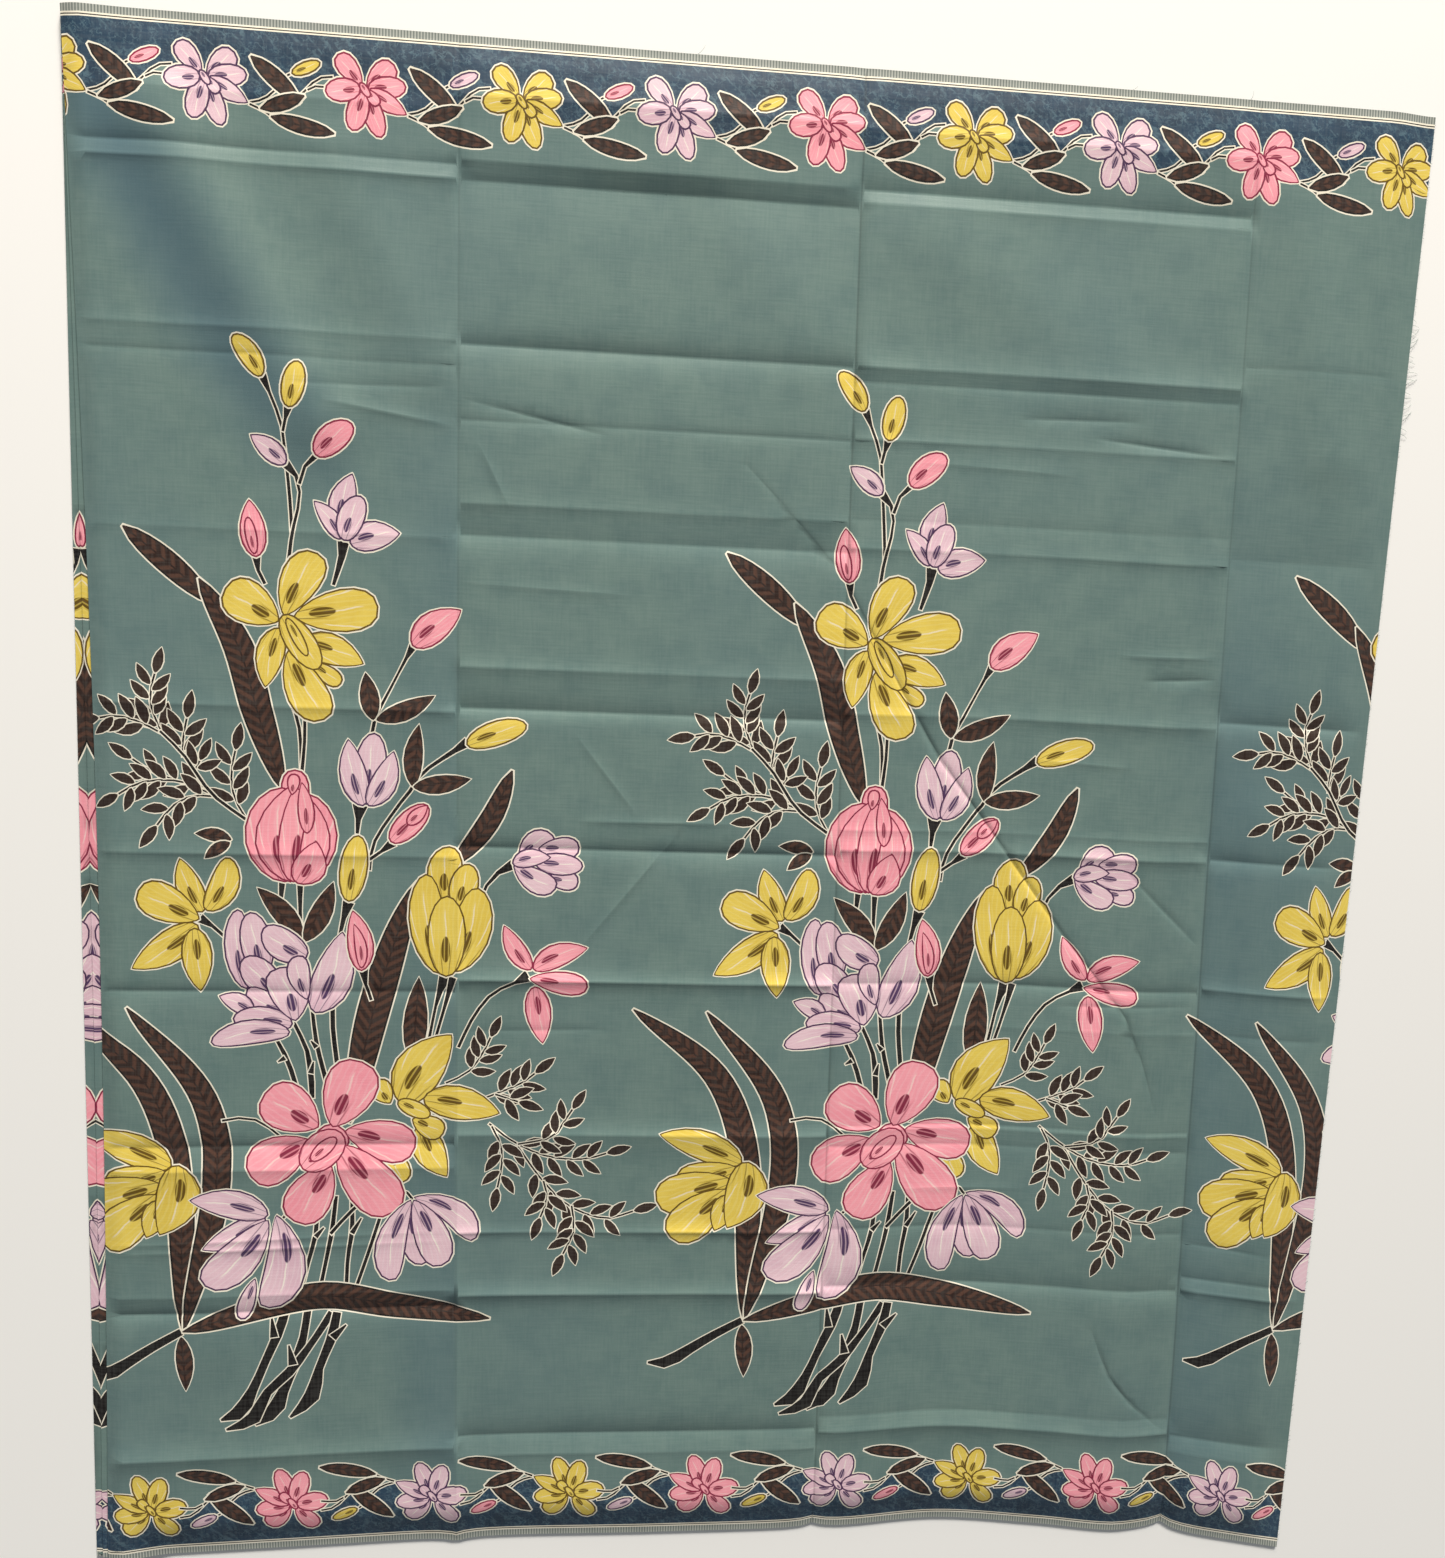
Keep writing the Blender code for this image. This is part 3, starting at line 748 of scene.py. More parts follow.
# Buds and blooms: each one's dye, and its petals inside one resist line, as (form, base, tip, half
# width, bend).
BLOOMS = (
    ("yellow", (("plump", (73, 333), (53, 360), 8.0, -1.5),)),
    ("yellow", (("plump", (91, 313), (98, 345), 8.5, 0.0),)),
    ("lilac", (("pointed", (89, 275), (64, 294), 8.0, -1.0),)),
    ("rose", (("plump", (109, 282), (135, 305), 10.0, 1.0),)),
    ("rose", (
        ("pointed", (68, 210), (63, 250), 9.5, 0.0),
        ("plump", (67, 212), (62, 238), 4.5, 0.0),
    )),
    ("lilac", (
        ("pointed", (126, 234), (135, 271), 10.0, 2.0),
        ("pointed", (128, 225), (108, 251), 7.5, -2.0),
        ("pointed", (133, 223), (169, 231), 11.0, 2.0),
        ("plump", (129, 224), (141, 256), 10.0, 1.0),
    )),
    ("yellow", (
        ("round", (84, 166), (46, 188), 16.0, 0.0),
        ("round", (87, 170), (111, 215), 14.5, 2.0),
        ("round", (94, 170), (154, 179), 16.0, 0.0),
        ("pointed", (84, 162), (74, 119), 10.5, -2.0),
        ("round", (106, 138), (128, 123), 7.0, 0.0),
        ("pointed", (98, 152), (144, 138), 12.0, 2.5),
        ("round", (90, 146), (116, 97), 15.0, -2.0),
        ("plump", (86, 171), (112, 133), 11.0, 0.0),
        ("plump", (89, 169), (104, 142), 4.5, 0.0),
    )),
    ("rose", (("pointed", (178, 152), (213, 179), 11.5, 2.0),)),
    ("lilac", (
        ("plump", (146, 36), (152, 89), 12.0, 0.0),
        ("pointed", (144, 35), (133, 84), 10.5, 2.0),
        ("pointed", (148, 35), (166, 76), 10.0, -3.0),
    )),
    ("yellow", (("plump", (218, 82), (262, 98), 9.5, 1.0),)),
    ("rose", (
        ("plump", (164, 9), (191, 37), 9.5, 0.0),
        ("pointed", (176, 22), (191, 37), 5.5, 0.0),
    )),
    ("yellow", (("plump", (134, -36), (141, 14), 10.5, 0.0),)),
    ("rose", (
        ("round", (96, 20), (95, 61), 10.5, 0.0),
        ("plump", (96, -22), (104, 44), 22.0, -4.0),
        ("plump", (88, -22), (86, 48), 23.0, 5.0),
        ("pointed", (92, -22), (90, 48), 17.0, 8.0),
        ("pointed", (94, -22), (96, 49), 15.0, -3.0),
        ("pointed", (103, -18), (108, 38), 11.0, -5.0),
        ("pointed", (104, 14), (100, 52), 6.5, -1.0),
        ("pointed", (97, -23), (111, 9), 12.5, -3.0),
        ("round", (93, 42), (95, 58), 5.0, 0.0),
    )),
    ("yellow", (
        ("plump", (205, -34), (207, 7), 13.5, 2.0),
        ("plump", (214, -40), (222, -6), 11.0, 0.0),
        ("plump", (202, -90), (190, -14), 14.0, 4.0),
        ("plump", (211, -88), (229, -24), 15.0, -4.0),
        ("plump", (206, -92), (206, -30), 14.5, 0.0),
    )),
    ("lilac", (
        ("round", (258, -4), (283, 17), 10.0, 3.0),
        ("round", (272, 6), (303, 8), 9.0, 0.0),
        ("round", (278, -16), (303, -18), 8.0, 0.0),
        ("round", (254, -6), (286, -24), 10.0, -2.0),
        ("plump", (270, -4), (306, -6), 9.0, 0.0),
        ("pointed", (253, -5), (282, 0), 7.5, 2.0),
    )),
    ("rose", (
        ("pointed", (269, -86), (248, -52), 8.0, 2.0),
        ("pointed", (270, -85), (311, -68), 9.5, 3.0),
        ("pointed", (272, -98), (279, -143), 10.0, 0.0),
        ("round", (268, -92), (312, -98), 9.5, 0.0),
    )),
    ("lilac", (
        ("plump", (60, -102), (54, -42), 10.0, 3.0),
        ("plump", (72, -92), (63, -44), 12.0, 0.0),
        ("plump", (104, -78), (72, -56), 12.5, 2.0),
        ("pointed", (110, -120), (130, -58), 15.0, -4.0),
        ("plump", (84, -108), (58, -78), 13.0, 0.0),
        ("plump", (92, -120), (60, -102), 10.0, 3.0),
        ("pointed", (66, -120), (40, -107), 8.0, -2.0),
        ("plump", (94, -128), (50, -124), 10.0, -2.0),
        ("plump", (92, -134), (34, -142), 10.0, -4.0),
        ("round", (96, -126), (84, -85), 16.0, -2.0),
        ("round", (104, -110), (97, -76), 9.0, 2.0),
    )),
    ("yellow", (
        ("pointed", (29, -45), (13, -5), 10.0, 2.0),
        ("plump", (32, -44), (49, -4), 11.0, -4.0),
        ("round", (27, -50), (-17, -29), 14.5, 0.0),
        ("pointed", (26, -54), (-22, -87), 12.5, 2.0),
        ("pointed", (23, -56), (27, -104), 11.5, 0.0),
    )),
    ("rose", (
        ("pointed", (144, -88), (137, -42), 10.0, -2.0),
        ("pointed", (144, -86), (138, -52), 5.0, -2.0),
    )),
    ("yellow", (
        ("pointed", (6, -236), (-59, -213), 13.0, -3.0),
        ("round", (2, -240), (-44, -252), 14.0, 2.0),
        ("round", (-2, -250), (-60, -268), 17.0, 0.0),
        ("round", (-4, -258), (-48, -298), 17.0, 0.0),
        ("pointed", (-2, -262), (-14, -292), 10.0, 0.0),
        ("pointed", (11, -235), (-4, -290), 17.0, 6.0),
    )),
    ("yellow", (
        ("round", (166, -190), (154, -172), 9.0, 0.0),
        ("round", (164, -224), (175, -253), 11.0, 0.0),
        ("pointed", (188, -206), (209, -248), 12.5, -3.0),
        ("pointed", (173, -190), (211, -136), 18.5, 4.0),
        ("pointed", (190, -186), (248, -198), 14.0, 2.0),
        ("round", (182, -202), (206, -214), 10.0, 0.0),
        ("plump", (171, -188), (196, -200), 7.0, 0.0),
    )),
    ("rose", (
        ("round", (106, -232), (132, -210), 13.0, 0.0),
        ("round", (113, -208), (73, -181), 19.5, 0.0),
        ("round", (123, -208), (145, -157), 20.0, 0.0),
        ("round", (132, -211), (185, -225), 17.0, 0.0),
        ("round", (127, -222), (170, -276), 20.0, 0.0),
        ("round", (122, -236), (95, -282), 17.5, 0.0),
        ("round", (107, -218), (63, -246), 18.0, -2.0),
        ("plump", (101, -240), (130, -212), 14.5, 0.0),
        ("plump", (107, -234), (126, -216), 6.0, 0.0),
    )),
    ("lilac", (
        ("round", (82, -276), (76, -351), 16.0, 10.0),
        ("round", (66, -326), (55, -359), 6.5, 0.0),
        ("pointed", (74, -278), (27, -302), 10.0, 2.0),
        ("pointed", (76, -276), (18, -263), 12.0, -3.0),
        ("round", (76, -280), (29, -331), 16.0, 4.0),
    )),
    ("lilac", (
        ("round", (180, -268), (191, -319), 10.5, -2.0),
        ("round", (182, -266), (166, -331), 12.0, -6.0),
        ("round", (184, -264), (232, -298), 11.0, 8.0),
        ("round", (184, -266), (206, -320), 14.0, 2.0),
    )),
)

# The border, in millimetres. The vine's unit is charted from a flower's centre, selvedge side up.
# A unit whose flower lies BORDER_SPARE or more past the raw cut is left out. BORDER_DEPTH is how far
# the border reaches in from its selvedge.
BORDER_PITCH = 107.2
BORDER_UNITS = 12
BORDER_SPARE = 130.0
BORDER_DEPTH = 90.0
BORDER_FLOWER_DEPTH = 41.0
TOP_BORDER_START = -495.0
HEM_BORDER_START = -448.0

# The border flower's petals, as (form, angle in degrees, length, half width), and its heart.
BORDER_PETALS = (
    ("round", 130, 28, 7.5),
    ("round", 40, 27, 8.5),
    ("plump", 6, 29, 8.0),
    ("pointed", -28, 33, 7.0),
    ("plump", -70, 34, 7.5),
    ("plump", -106, 30, 8.0),
    ("plump", -172, 27, 8.5),
)
BORDER_PETAL_FOOT = 2.0
BORDER_HEART = (("round", (1, 0), (10, -11), 4.5), ("plump", (-3, 4), (4, -6), 3.2))
BORDER_BLADES = (
    (((31, 15.5), (50, 0), (64, -13)), 6.0),
    (((67, -8), (53, -13.5), (37, -18.5)), 5.2),
    (((44, -23), (68, -28.5), (87, -31.6)), 5.4),
)
BORDER_STEMS = (
    ((30, -15), (40, -12), (47, -6)),
    ((30, -16), (40, -20), (46, -24)),
    ((62, -10), (69, -3), (76, 4), (86, 6)),
    ((69, -4), (75, -1), (86, -2)),
    ((53, 1), (56, 5), (60, 7)),
)
BORDER_BUD = ((58, 6), (78, 15), 4.6)
BUD_DYES = {"yellow": "rose", "lilac": "yellow", "rose": "lilac"}

# The navy band's inner edge, along one unit.
NAVY_EDGE = (
    (0, -6), (30, -15), (40, -12), (47, -6), (54, -9), (62, -9), (69, -3), (76, 4), (86, 6), (100, 0),
)

# Straight lines along the selvedge, as (dye, near edge, far edge). They are laid from -BAND_REACH to
# BAND_REACH along, with a point at each step.
BAND_LINES = (("selvedge", 0.0, 5.2), ("resist", 5.2, 6.4), ("black", 6.4, 7.2), ("resist", 7.2, 8.2))
BAND_REACH = 600.0
BAND_STEP = 10.0


def moved(rows, move):
    """Rows of (along, across, ...) with their places moved."""
    return [tuple(move(row[0], row[1])) + tuple(row[2:]) for row in rows]


def draw_bouquet(drawing, shift):
    """One bouquet, moved along the cloth."""
    off_along, off_across = RIGHT_BOUQUET_MOVE if shift > 0.0 else (0.0, 0.0)

    def move(x, y):
        return x + BOUQUET_LEAN * y + shift + off_along, BOUQUET_LEVEL + BOUQUET_STRETCH * y + off_across

    for points, half_width in BLADES_BEHIND:
        drawing.blade(moved(points, move), half_width)
    for points, *leaflets in SPRIGS:
        drawing.sprig(moved(points, move), *leaflets)
    for points in STEMS:
        drawing.stem(moved(points, move))
    for points in THORNS:
        drawing.stem(moved(points, move), step=THORN_STEP)
    for points, half_width in BLADES_BEFORE:
        drawing.blade(moved(points, move), half_width)
    for base, tip, half_width, bend in LEAVES:
        drawing.leaf(move(*base), move(*tip), half_width, bend)
    for dye, petals in BLOOMS:
        first_base = petals[0][1]
        if shift > 0.0 and first_base[1] > HIGHEST_CUT_BLOOM:
            continue
        drawing.bloom(dye, [(form, move(*base), move(*tip), *shape) for form, base, tip, *shape in petals])


def border_move(centre, hem):
    """How a unit's chart is set on the top border, or turned half round on the hem border."""
    top_level = CUT_WIDTH * MM - BORDER_FLOWER_DEPTH

    def move(x, y):
        if hem:
            return centre - x, BORDER_FLOWER_DEPTH - y
        return centre + x, top_level + y

    return move


def draw_border(drawing, start, reach, dyes, hem):
    """A border: its navy band first, then each unit's stems, leaves, bud and flower."""
    edge = CUT_WIDTH * MM
    centres = [start + BORDER_PITCH * k for k in range(-1, BORDER_UNITS)]
    centres = [centre for centre in centres if centre < reach + BORDER_SPARE]
    band = sorted(place for centre in centres for place in moved(NAVY_EDGE, border_move(centre, hem)))
    outer = 0.0 if hem else edge
    drawing.lay("navy", np.array([(band[0][0], outer)] + band + [(band[-1][0], outer)]))
    places = np.arange(-BAND_REACH, BAND_REACH + BAND_STEP / 2.0, BAND_STEP)
    for dye, near, far in BAND_LINES:
        low, high = (near, far) if hem else (edge - far, edge - near)
        lower = np.stack([places, np.full_like(places, low)], axis=1)
        upper = np.stack([places[::-1], np.full_like(places, high)], axis=1)
        drawing.lay(dye, np.concatenate([lower, upper]))
    for index, centre in enumerate(centres):
        move = border_move(centre, hem)
        for points in BORDER_STEMS:
            drawing.stem(moved(points, move), FINE_STEM, BORDER_STEM_STEP)
        for points, half_width in BORDER_BLADES:
            drawing.blade(moved(points, move), half_width, BORDER_BLADE_STEP)
        base, tip, half_width = BORDER_BUD
        dye = dyes[index % len(dyes)]
        drawing.bloom(BUD_DYES[dye], [("plump", move(*base), move(*tip), half_width, 0.0)], points=7)
        petals = []
        for form, angle, length, half_width in BORDER_PETALS:
            turn = math.radians(angle)
            out = np.array([math.cos(turn), math.sin(turn)])
            base, tip = move(*(out * BORDER_PETAL_FOOT)), move(*(out * length))
            petals.append((form, base, tip, half_width, 0.0))
        for form, base, tip, half_width in BORDER_HEART:
            petals.append((form, move(*base), move(*tip), half_width, 0.0))
        drawing.bloom(dye, petals, points=8)


def whole_print(reach):
    """The print of one leaf, as far as reach millimetres along."""
    drawing = Drawing()
    for repeat in (-1, 0, 1):
        draw_bouquet(drawing, repeat * BOUQUET_PITCH)
    draw_border(drawing, TOP_BORDER_START, reach, ("rose", "yellow", "lilac"), hem=False)
    draw_border(drawing, HEM_BORDER_START, reach, ("lilac", "yellow", "rose"), hem=True)
    return drawing


# How closely the face and the back are cut, in millimetres. FAR_ROW counts in a fold's own widths,
# and NORMAL_REACH is in metres.
OUTLINE_STEP = 6.0
FACE_STEP = 12.0
FACE_GAP = 5.0
LINE_STEP = 12.0
CREASE_STEP = 9.0
BACK_STEP = 30.0
BACK_LINE_STEP = 24.0
BACK_LEAST_RISE = 0.8
NEAR_ROW = 1.2
FAR_ROW = 2.2
RIM_ROWS = (4.0, 9.0, 15.0, 22.0, 30.0, 40.0)
FOLD_ROWS = (-482.0, -479.0, -476.0, -472.0, -467.0, -461.0)
EVEN_GRID_END = 430.0
EDGE_CLEARANCE = 2.0
CUT_TOLERANCE = 0.01
BACK_TOLERANCE = 0.001
NORMAL_REACH = 0.0008


def leaf_outline():
    """The cut of the upper leaf, in cloth millimetres, anticlockwise from its hem corner."""
    top = CUT_WIDTH * MM
    left_foot = FOLD_EDGE * MM
    hem = np.arange(left_foot, RAW_EDGE_AT_HEM * MM, OUTLINE_STEP)
    right = np.arange(0.0, top, OUTLINE_STEP)
    head = np.arange(RAW_EDGE_AT_TOP * MM, left_foot, -OUTLINE_STEP)
    left = np.arange(top, 0.0, -OUTLINE_STEP)
    sides = (
        np.stack([hem, np.zeros_like(hem)], axis=1),
        np.stack([raw_edge(right / MM) * MM, right], axis=1),
        np.stack([head, np.full_like(head, top)], axis=1),
        np.stack([fold_edge(left / MM) * MM, left], axis=1),
    )
    return np.concatenate(sides)


def inside_leaf(points):
    """The points that lie clear inside the upper leaf's cut."""
    across = points[:, 1] / MM
    clear = EDGE_CLEARANCE
    keep = (points[:, 1] > clear) & (points[:, 1] < CUT_WIDTH * MM - clear)
    keep &= points[:, 0] > fold_edge(across) * MM + clear
    keep &= points[:, 0] < raw_edge(across) * MM - clear
    return points[keep]


def grid_points(step):
    """An even grid over the leaf, closer at its selvedges, its raw cut and its fold."""
    top = CUT_WIDTH * MM
    acrosses = np.arange(RIM_ROWS[-1] + step, top - RIM_ROWS[-1] - step / 2.0, step)
    acrosses = np.concatenate([RIM_ROWS, acrosses, top - np.array(RIM_ROWS)])
    alongs = np.concatenate([FOLD_ROWS, np.arange(FOLD_ROWS[-1] + step, EVEN_GRID_END, step)])
    grid = np.stack(np.meshgrid(alongs, acrosses), axis=2).reshape(-1, 2)
    cuts = [np.stack([raw_edge(acrosses / MM) * MM - row, acrosses], axis=1) for row in RIM_ROWS]
    return np.concatenate([grid, *cuts])


def line_rows(line, rows, step):
    """Rows of places beside a fold or crease, at given distances to its left."""
    way = np.array([line.end[0] - line.start[0], line.end[1] - line.start[1]], float)
    length = np.hypot(*way)
    way /= length
    runs = np.outer(np.linspace(0.0, length, max(2, round(length / step))), way)
    start = np.array(line.start)
    return [start + np.array([-way[1], way[0]]) * row + runs for row in rows]


def face_points():
    """Places that carry the folds on the face, and the edges that keep their rows whole."""
    points = grid_points(FACE_STEP)
    clear = np.ones(len(points), bool)
    rows, kept_rows = [], []
    for line in pressed_lines():
        past, _, off = beside_line(points[:, 0] / MM, points[:, 1] / MM, line.start, line.end)
        clear &= (past > 0.0) | (np.abs(off) > FACE_GAP)
        slopes = (-FAR_ROW * line.right, -line.right, line.left, FAR_ROW * line.left)
        rows += line_rows(line, slopes, LINE_STEP)
        kept_rows += line_rows(line, (-NEAR_ROW, 0.0, NEAR_ROW), LINE_STEP)
    for crease in LONG_CREASES:
        line = smooth_line(crease, CREASE_STEP)
        side = sides_of(line)
        rows += [line[:, :2] + side * row for row in (-2.0 * LONG_CREASE_WIDTH, 2.0 * LONG_CREASE_WIDTH)]
        kept_rows += [line[:, :2] + side * row for row in (-NEAR_ROW, 0.0, NEAR_ROW)]
    loose = inside_leaf(np.concatenate([points[clear], *rows]))
    kept_rows = [inside_leaf(row) for row in kept_rows]
    edges = []
    count = len(loose)
    for row in kept_rows:
        edges += [(count + k, count + k + 1) for k in range(len(row) - 1)]
        count += len(row)
    return np.concatenate([loose, *kept_rows]), edges


def back_points():
    """Places that carry the deeper folds on the back."""
    rows = [grid_points(BACK_STEP)]
    for line in pressed_lines():
        if abs(line.rise) > BACK_LEAST_RISE:
            rows += line_rows(line, (-2.0 * line.right, 0.0, 2.0 * line.left), BACK_LINE_STEP)
    for crease in LONG_CREASES:
        rows.append(smooth_line(crease, BACK_LINE_STEP)[:, :2])
    return inside_leaf(np.concatenate(rows))


def lies_in(places, outline):
    """Which places lie inside an outline, by how often it winds round them."""
    start, end = outline, np.roll(outline, -1, axis=0)
    x, y = places[:, :1], places[:, 1:]
    side = (end[:, 0] - start[:, 0]) * (y - start[:, 1]) - (x - start[:, 0]) * (end[:, 1] - start[:, 1])
    up = (start[:, 1] <= y) & (end[:, 1] > y) & (side > 0.0)
    down = (start[:, 1] > y) & (end[:, 1] <= y) & (side < 0.0)
    return up.sum(axis=1) != down.sum(axis=1)


def owners_of(centres, patches, near_patches):
    """The last patch that is laid over each centre, or -1 where the ground shows."""
    owners = np.full(len(centres), -1)
    order = np.argsort(centres[:, 0])
    alongs = centres[order, 0]
    for index in near_patches:
        outline = patches[index][1]
        low, high = outline.min(axis=0), outline.max(axis=0)
        first, last = np.searchsorted(alongs, (low[0], high[0]))
        near = order[first:last]
        near = near[(centres[near, 1] > low[1]) & (centres[near, 1] < high[1])]
        owners[near[lies_in(centres[near], outline)]] = index
    return owners


def cut_face(drawing, outline, points, edges):
    """Cuts a face along its outline and the print. Returns places, triangles and their patches."""
    low, high = outline.min(axis=0), outline.max(axis=0)
    edges = [(first + len(outline), second + len(outline)) for first, second in edges]
    vertices = [outline, points]
    faces = [list(range(len(outline)))]
    near_patches = []
    count = len(outline) + len(points)
    for index, (_, patch, _) in enumerate(drawing.patches):
        if (patch.max(axis=0) < low).any() or (patch.min(axis=0) > high).any():
            continue
        vertices.append(patch)
        faces.append(list(range(count, count + len(patch))))
        near_patches.append(index)
        count += len(patch)
    places = [Vector(place) for place in np.concatenate(vertices).tolist()]
    places, _, corners, _, _, sources = delaunay_2d_cdt(places, edges, faces, 0, CUT_TOLERANCE, True)
    # The first outline given is the face's own, so a triangle without it lies outside the cut.
    triangles = np.array([corners[k] for k, outlines in enumerate(sources) if 0 in outlines])
    places = np.array([tuple(place) for place in places])
    return places, triangles, owners_of(places[triangles].mean(axis=1), drawing.patches, near_patches)


def rim_of(triangles):
    """The edges that only one triangle has, each in that triangle's own direction."""
    edges = np.concatenate([triangles[:, [0, 1]], triangles[:, [1, 2]], triangles[:, [2, 0]]])
    key = np.sort(edges, axis=1)
    _, first, counts = np.unique(key, axis=0, return_index=True, return_counts=True)
    return edges[first[counts == 1]]


def back_of(places, rim, points):
    """A plain, widely cut back for a face, on the face's own rim points.

    Returns its places, its triangles, and for each of the face's rim points its twin on the back.
    """
    follow = dict(rim.tolist())
    start = int(rim[0, 0])
    loop = [start]
    while follow[loop[-1]] != start:
        loop.append(follow[loop[-1]])
    given = [Vector(place) for place in np.concatenate([places[loop], points]).tolist()]
    ring = list(range(len(loop)))
    cut = delaunay_2d_cdt(given, [], [ring], 0, BACK_TOLERANCE, True)
    back_places, _, corners, origins, _, sources = cut
    triangles = np.array([corners[k] for k, outlines in enumerate(sources) if outlines])
    back = np.array([tuple(place) for place in back_places])
    twins = {loop[old]: new for new, olds in enumerate(origins) for old in olds if old < len(loop)}
    return back, triangles, twins


def normals_of(place, spots):
    """The upward normals of a face at its places, from the slopes of its form."""
    along, across = spots[:, 0], spots[:, 1]
    reach = NORMAL_REACH
    run = place(along + reach, across) - place(along - reach, across)
    rise = place(along, across + reach) - place(along, across - reach)
    normals = np.cross(run, rise)
    return normals / np.linalg.norm(normals, axis=1)[:, None]


def new_mesh(name, points, triangles, slots, normals, cloth_places, pattern):
    """A mesh with its material slots, smooth normals, and cloth and pattern places."""
    mesh = bpy.data.meshes.new(name)
    mesh.vertices.add(len(points))
    mesh.vertices.foreach_set("co", points.astype(np.float32).ravel())
    mesh.loops.add(len(triangles) * 3)
    mesh.loops.foreach_set("vertex_index", triangles.astype(np.int32).ravel())
    mesh.polygons.add(len(triangles))
    mesh.polygons.foreach_set("loop_start", np.arange(0, len(triangles) * 3, 3, dtype=np.int32))
    mesh.polygons.foreach_set("material_index", slots.astype(np.int32))
    for layer, values in (("cloth", cloth_places), ("pattern", pattern)):
        uv = mesh.uv_layers.new(name=layer)
        uv.uv.foreach_set("vector", values.astype(np.float32).ravel())
    mesh.update(calc_edges=True)
    mesh.shade_smooth()
    mesh.normals_split_custom_set(normals.reshape(-1, 3).tolist())
    return mesh


def pattern_places(drawing, places, triangles, patches):
    """Each patch's own measure at the corners of its triangles."""
    pattern = places[triangles] / PATTERN_UNIT
    for index in np.unique(patches[patches >= 0]):
        measure = drawing.patches[index][2]
        if measure is None:
            continue
        chosen = np.nonzero(patches == index)[0]
        corners = places[triangles[chosen]].reshape(-1, 2)
        pattern[chosen] = measure(corners).reshape(-1, 3, 2)
    return pattern


# For a layer with no folds of its own: no places and no edges inside its outline.
NO_PLACES = np.zeros((0, 2))
NO_FOLDS = (NO_PLACES, [])


def printed_shell(name, drawing, outline, face, place, back_points, back_place, turned=False):
    """A thin closed shell of cloth with the print laid into its face.

    face holds the places that carry the face's folds and the edges between them. place and
    back_place give the points of the face and of the back at places on the cloth.
    """
    places, triangles, patches = cut_face(drawing, outline, *face)
    used = np.unique(triangles)
    renumber = np.full(len(places), -1)
    renumber[used] = np.arange(len(used))
    places, triangles = places[used], renumber[triangles]
    rim = rim_of(triangles)
    back, back_triangles, twins = back_of(places, rim, back_points)
    spots, back_spots = places / MM, back / MM
    face_at = place(spots[:, 0], spots[:, 1])
    back_at = back_place(back_spots[:, 0], back_spots[:, 1])
    face_normals = normals_of(place, spots)
    back_normals = -normals_of(back_place, back_spots)
    slots = np.array([DYE_SLOT["ground"] if k < 0 else drawing.patches[k][0] for k in patches])
    pattern = pattern_places(drawing, places, triangles, patches)

    below = len(places)
    first, second = rim[:, 0], rim[:, 1]
    under_first = np.array([twins[k] for k in first]) + below
    under_second = np.array([twins[k] for k in second]) + below
    rim_triangles = np.concatenate([
        np.stack([second, first, under_first], axis=1),
        np.stack([second, under_first, under_second], axis=1),
    ])
    all_points = np.concatenate([face_at, back_at])
    all_triangles = np.concatenate([triangles, back_triangles[:, ::-1] + below, rim_triangles])
    ways = all_points[first] - all_points[second]
    outward = np.cross(ways, all_points[under_first] - all_points[second])
    outward /= np.linalg.norm(outward, axis=1)[:, None]
    rim_normals = np.repeat(np.concatenate([outward, outward])[:, None, :], 3, axis=1)
    normals = np.concatenate([
        face_normals[triangles],
        back_normals[back_triangles[:, ::-1]],
        rim_normals,
    ])
    every_place = np.concatenate([places, back])
    cloth_places = every_place[all_triangles] / MM
    plain = every_place[all_triangles[len(triangles):]] / PATTERN_UNIT
    all_slots = np.concatenate([
        slots,
        np.full(len(back_triangles), DYE_SLOT["ground"]),
        np.full(len(rim_triangles), DYE_SLOT["ground"]),
    ])
    if turned:
        all_triangles = all_triangles[:, ::-1]
        normals = -normals[:, ::-1]
        cloth_places = cloth_places[:, ::-1]
        pattern, plain = pattern[:, ::-1], plain[:, ::-1]
    pattern = np.concatenate([pattern, plain])
    mesh = new_mesh(name, all_points, all_triangles, all_slots, normals, cloth_places, pattern)
    # Painted shade down the hardest folds and creases, kept on each point for the cotton's colour.
    dark = mesh.attributes.new("painted_shade", "FLOAT", "POINT")
    dark.data.foreach_set("value", painted_crease_shade(every_place[:, 0] / MM, every_place[:, 1] / MM))
    piece = bpy.data.objects.new(name, mesh)
    bpy.context.scene.collection.objects.link(piece)
    return piece


def colour(code, alpha=1.0):
    """An sRGB hex colour as linear values."""
    channels = [int(code[k:k + 2], 16) / 255.0 for k in (1, 3, 5)]
    linear = [c / 12.92 if c <= 0.04045 else ((c + 0.055) / 1.055) ** 2.4 for c in channels]
    return (*linear, alpha)


def add_node(tree, kind, inputs=None, output=0, **settings):
    """Adds a shader node with its settings and its inputs' values or links. Returns one output."""
    node = tree.nodes.new("ShaderNode" + kind)
    for name, value in settings.items():
        setattr(node, name, value)
    for socket, value in (inputs or {}).items():
        if isinstance(value, bpy.types.NodeSocket):
            tree.links.new(value, node.inputs[socket])
        else:
            node.inputs[socket].default_value = value
    return node.outputs[output]


def places_in(tree, layer):
    """The cloth's or the pattern's own places, whole and as separate values along and across."""
    whole = add_node(tree, "UVMap", uv_map=layer)
    along = add_node(tree, "SeparateXYZ", {0: whole}, "X")
    return whole, along, along.node.outputs["Y"]


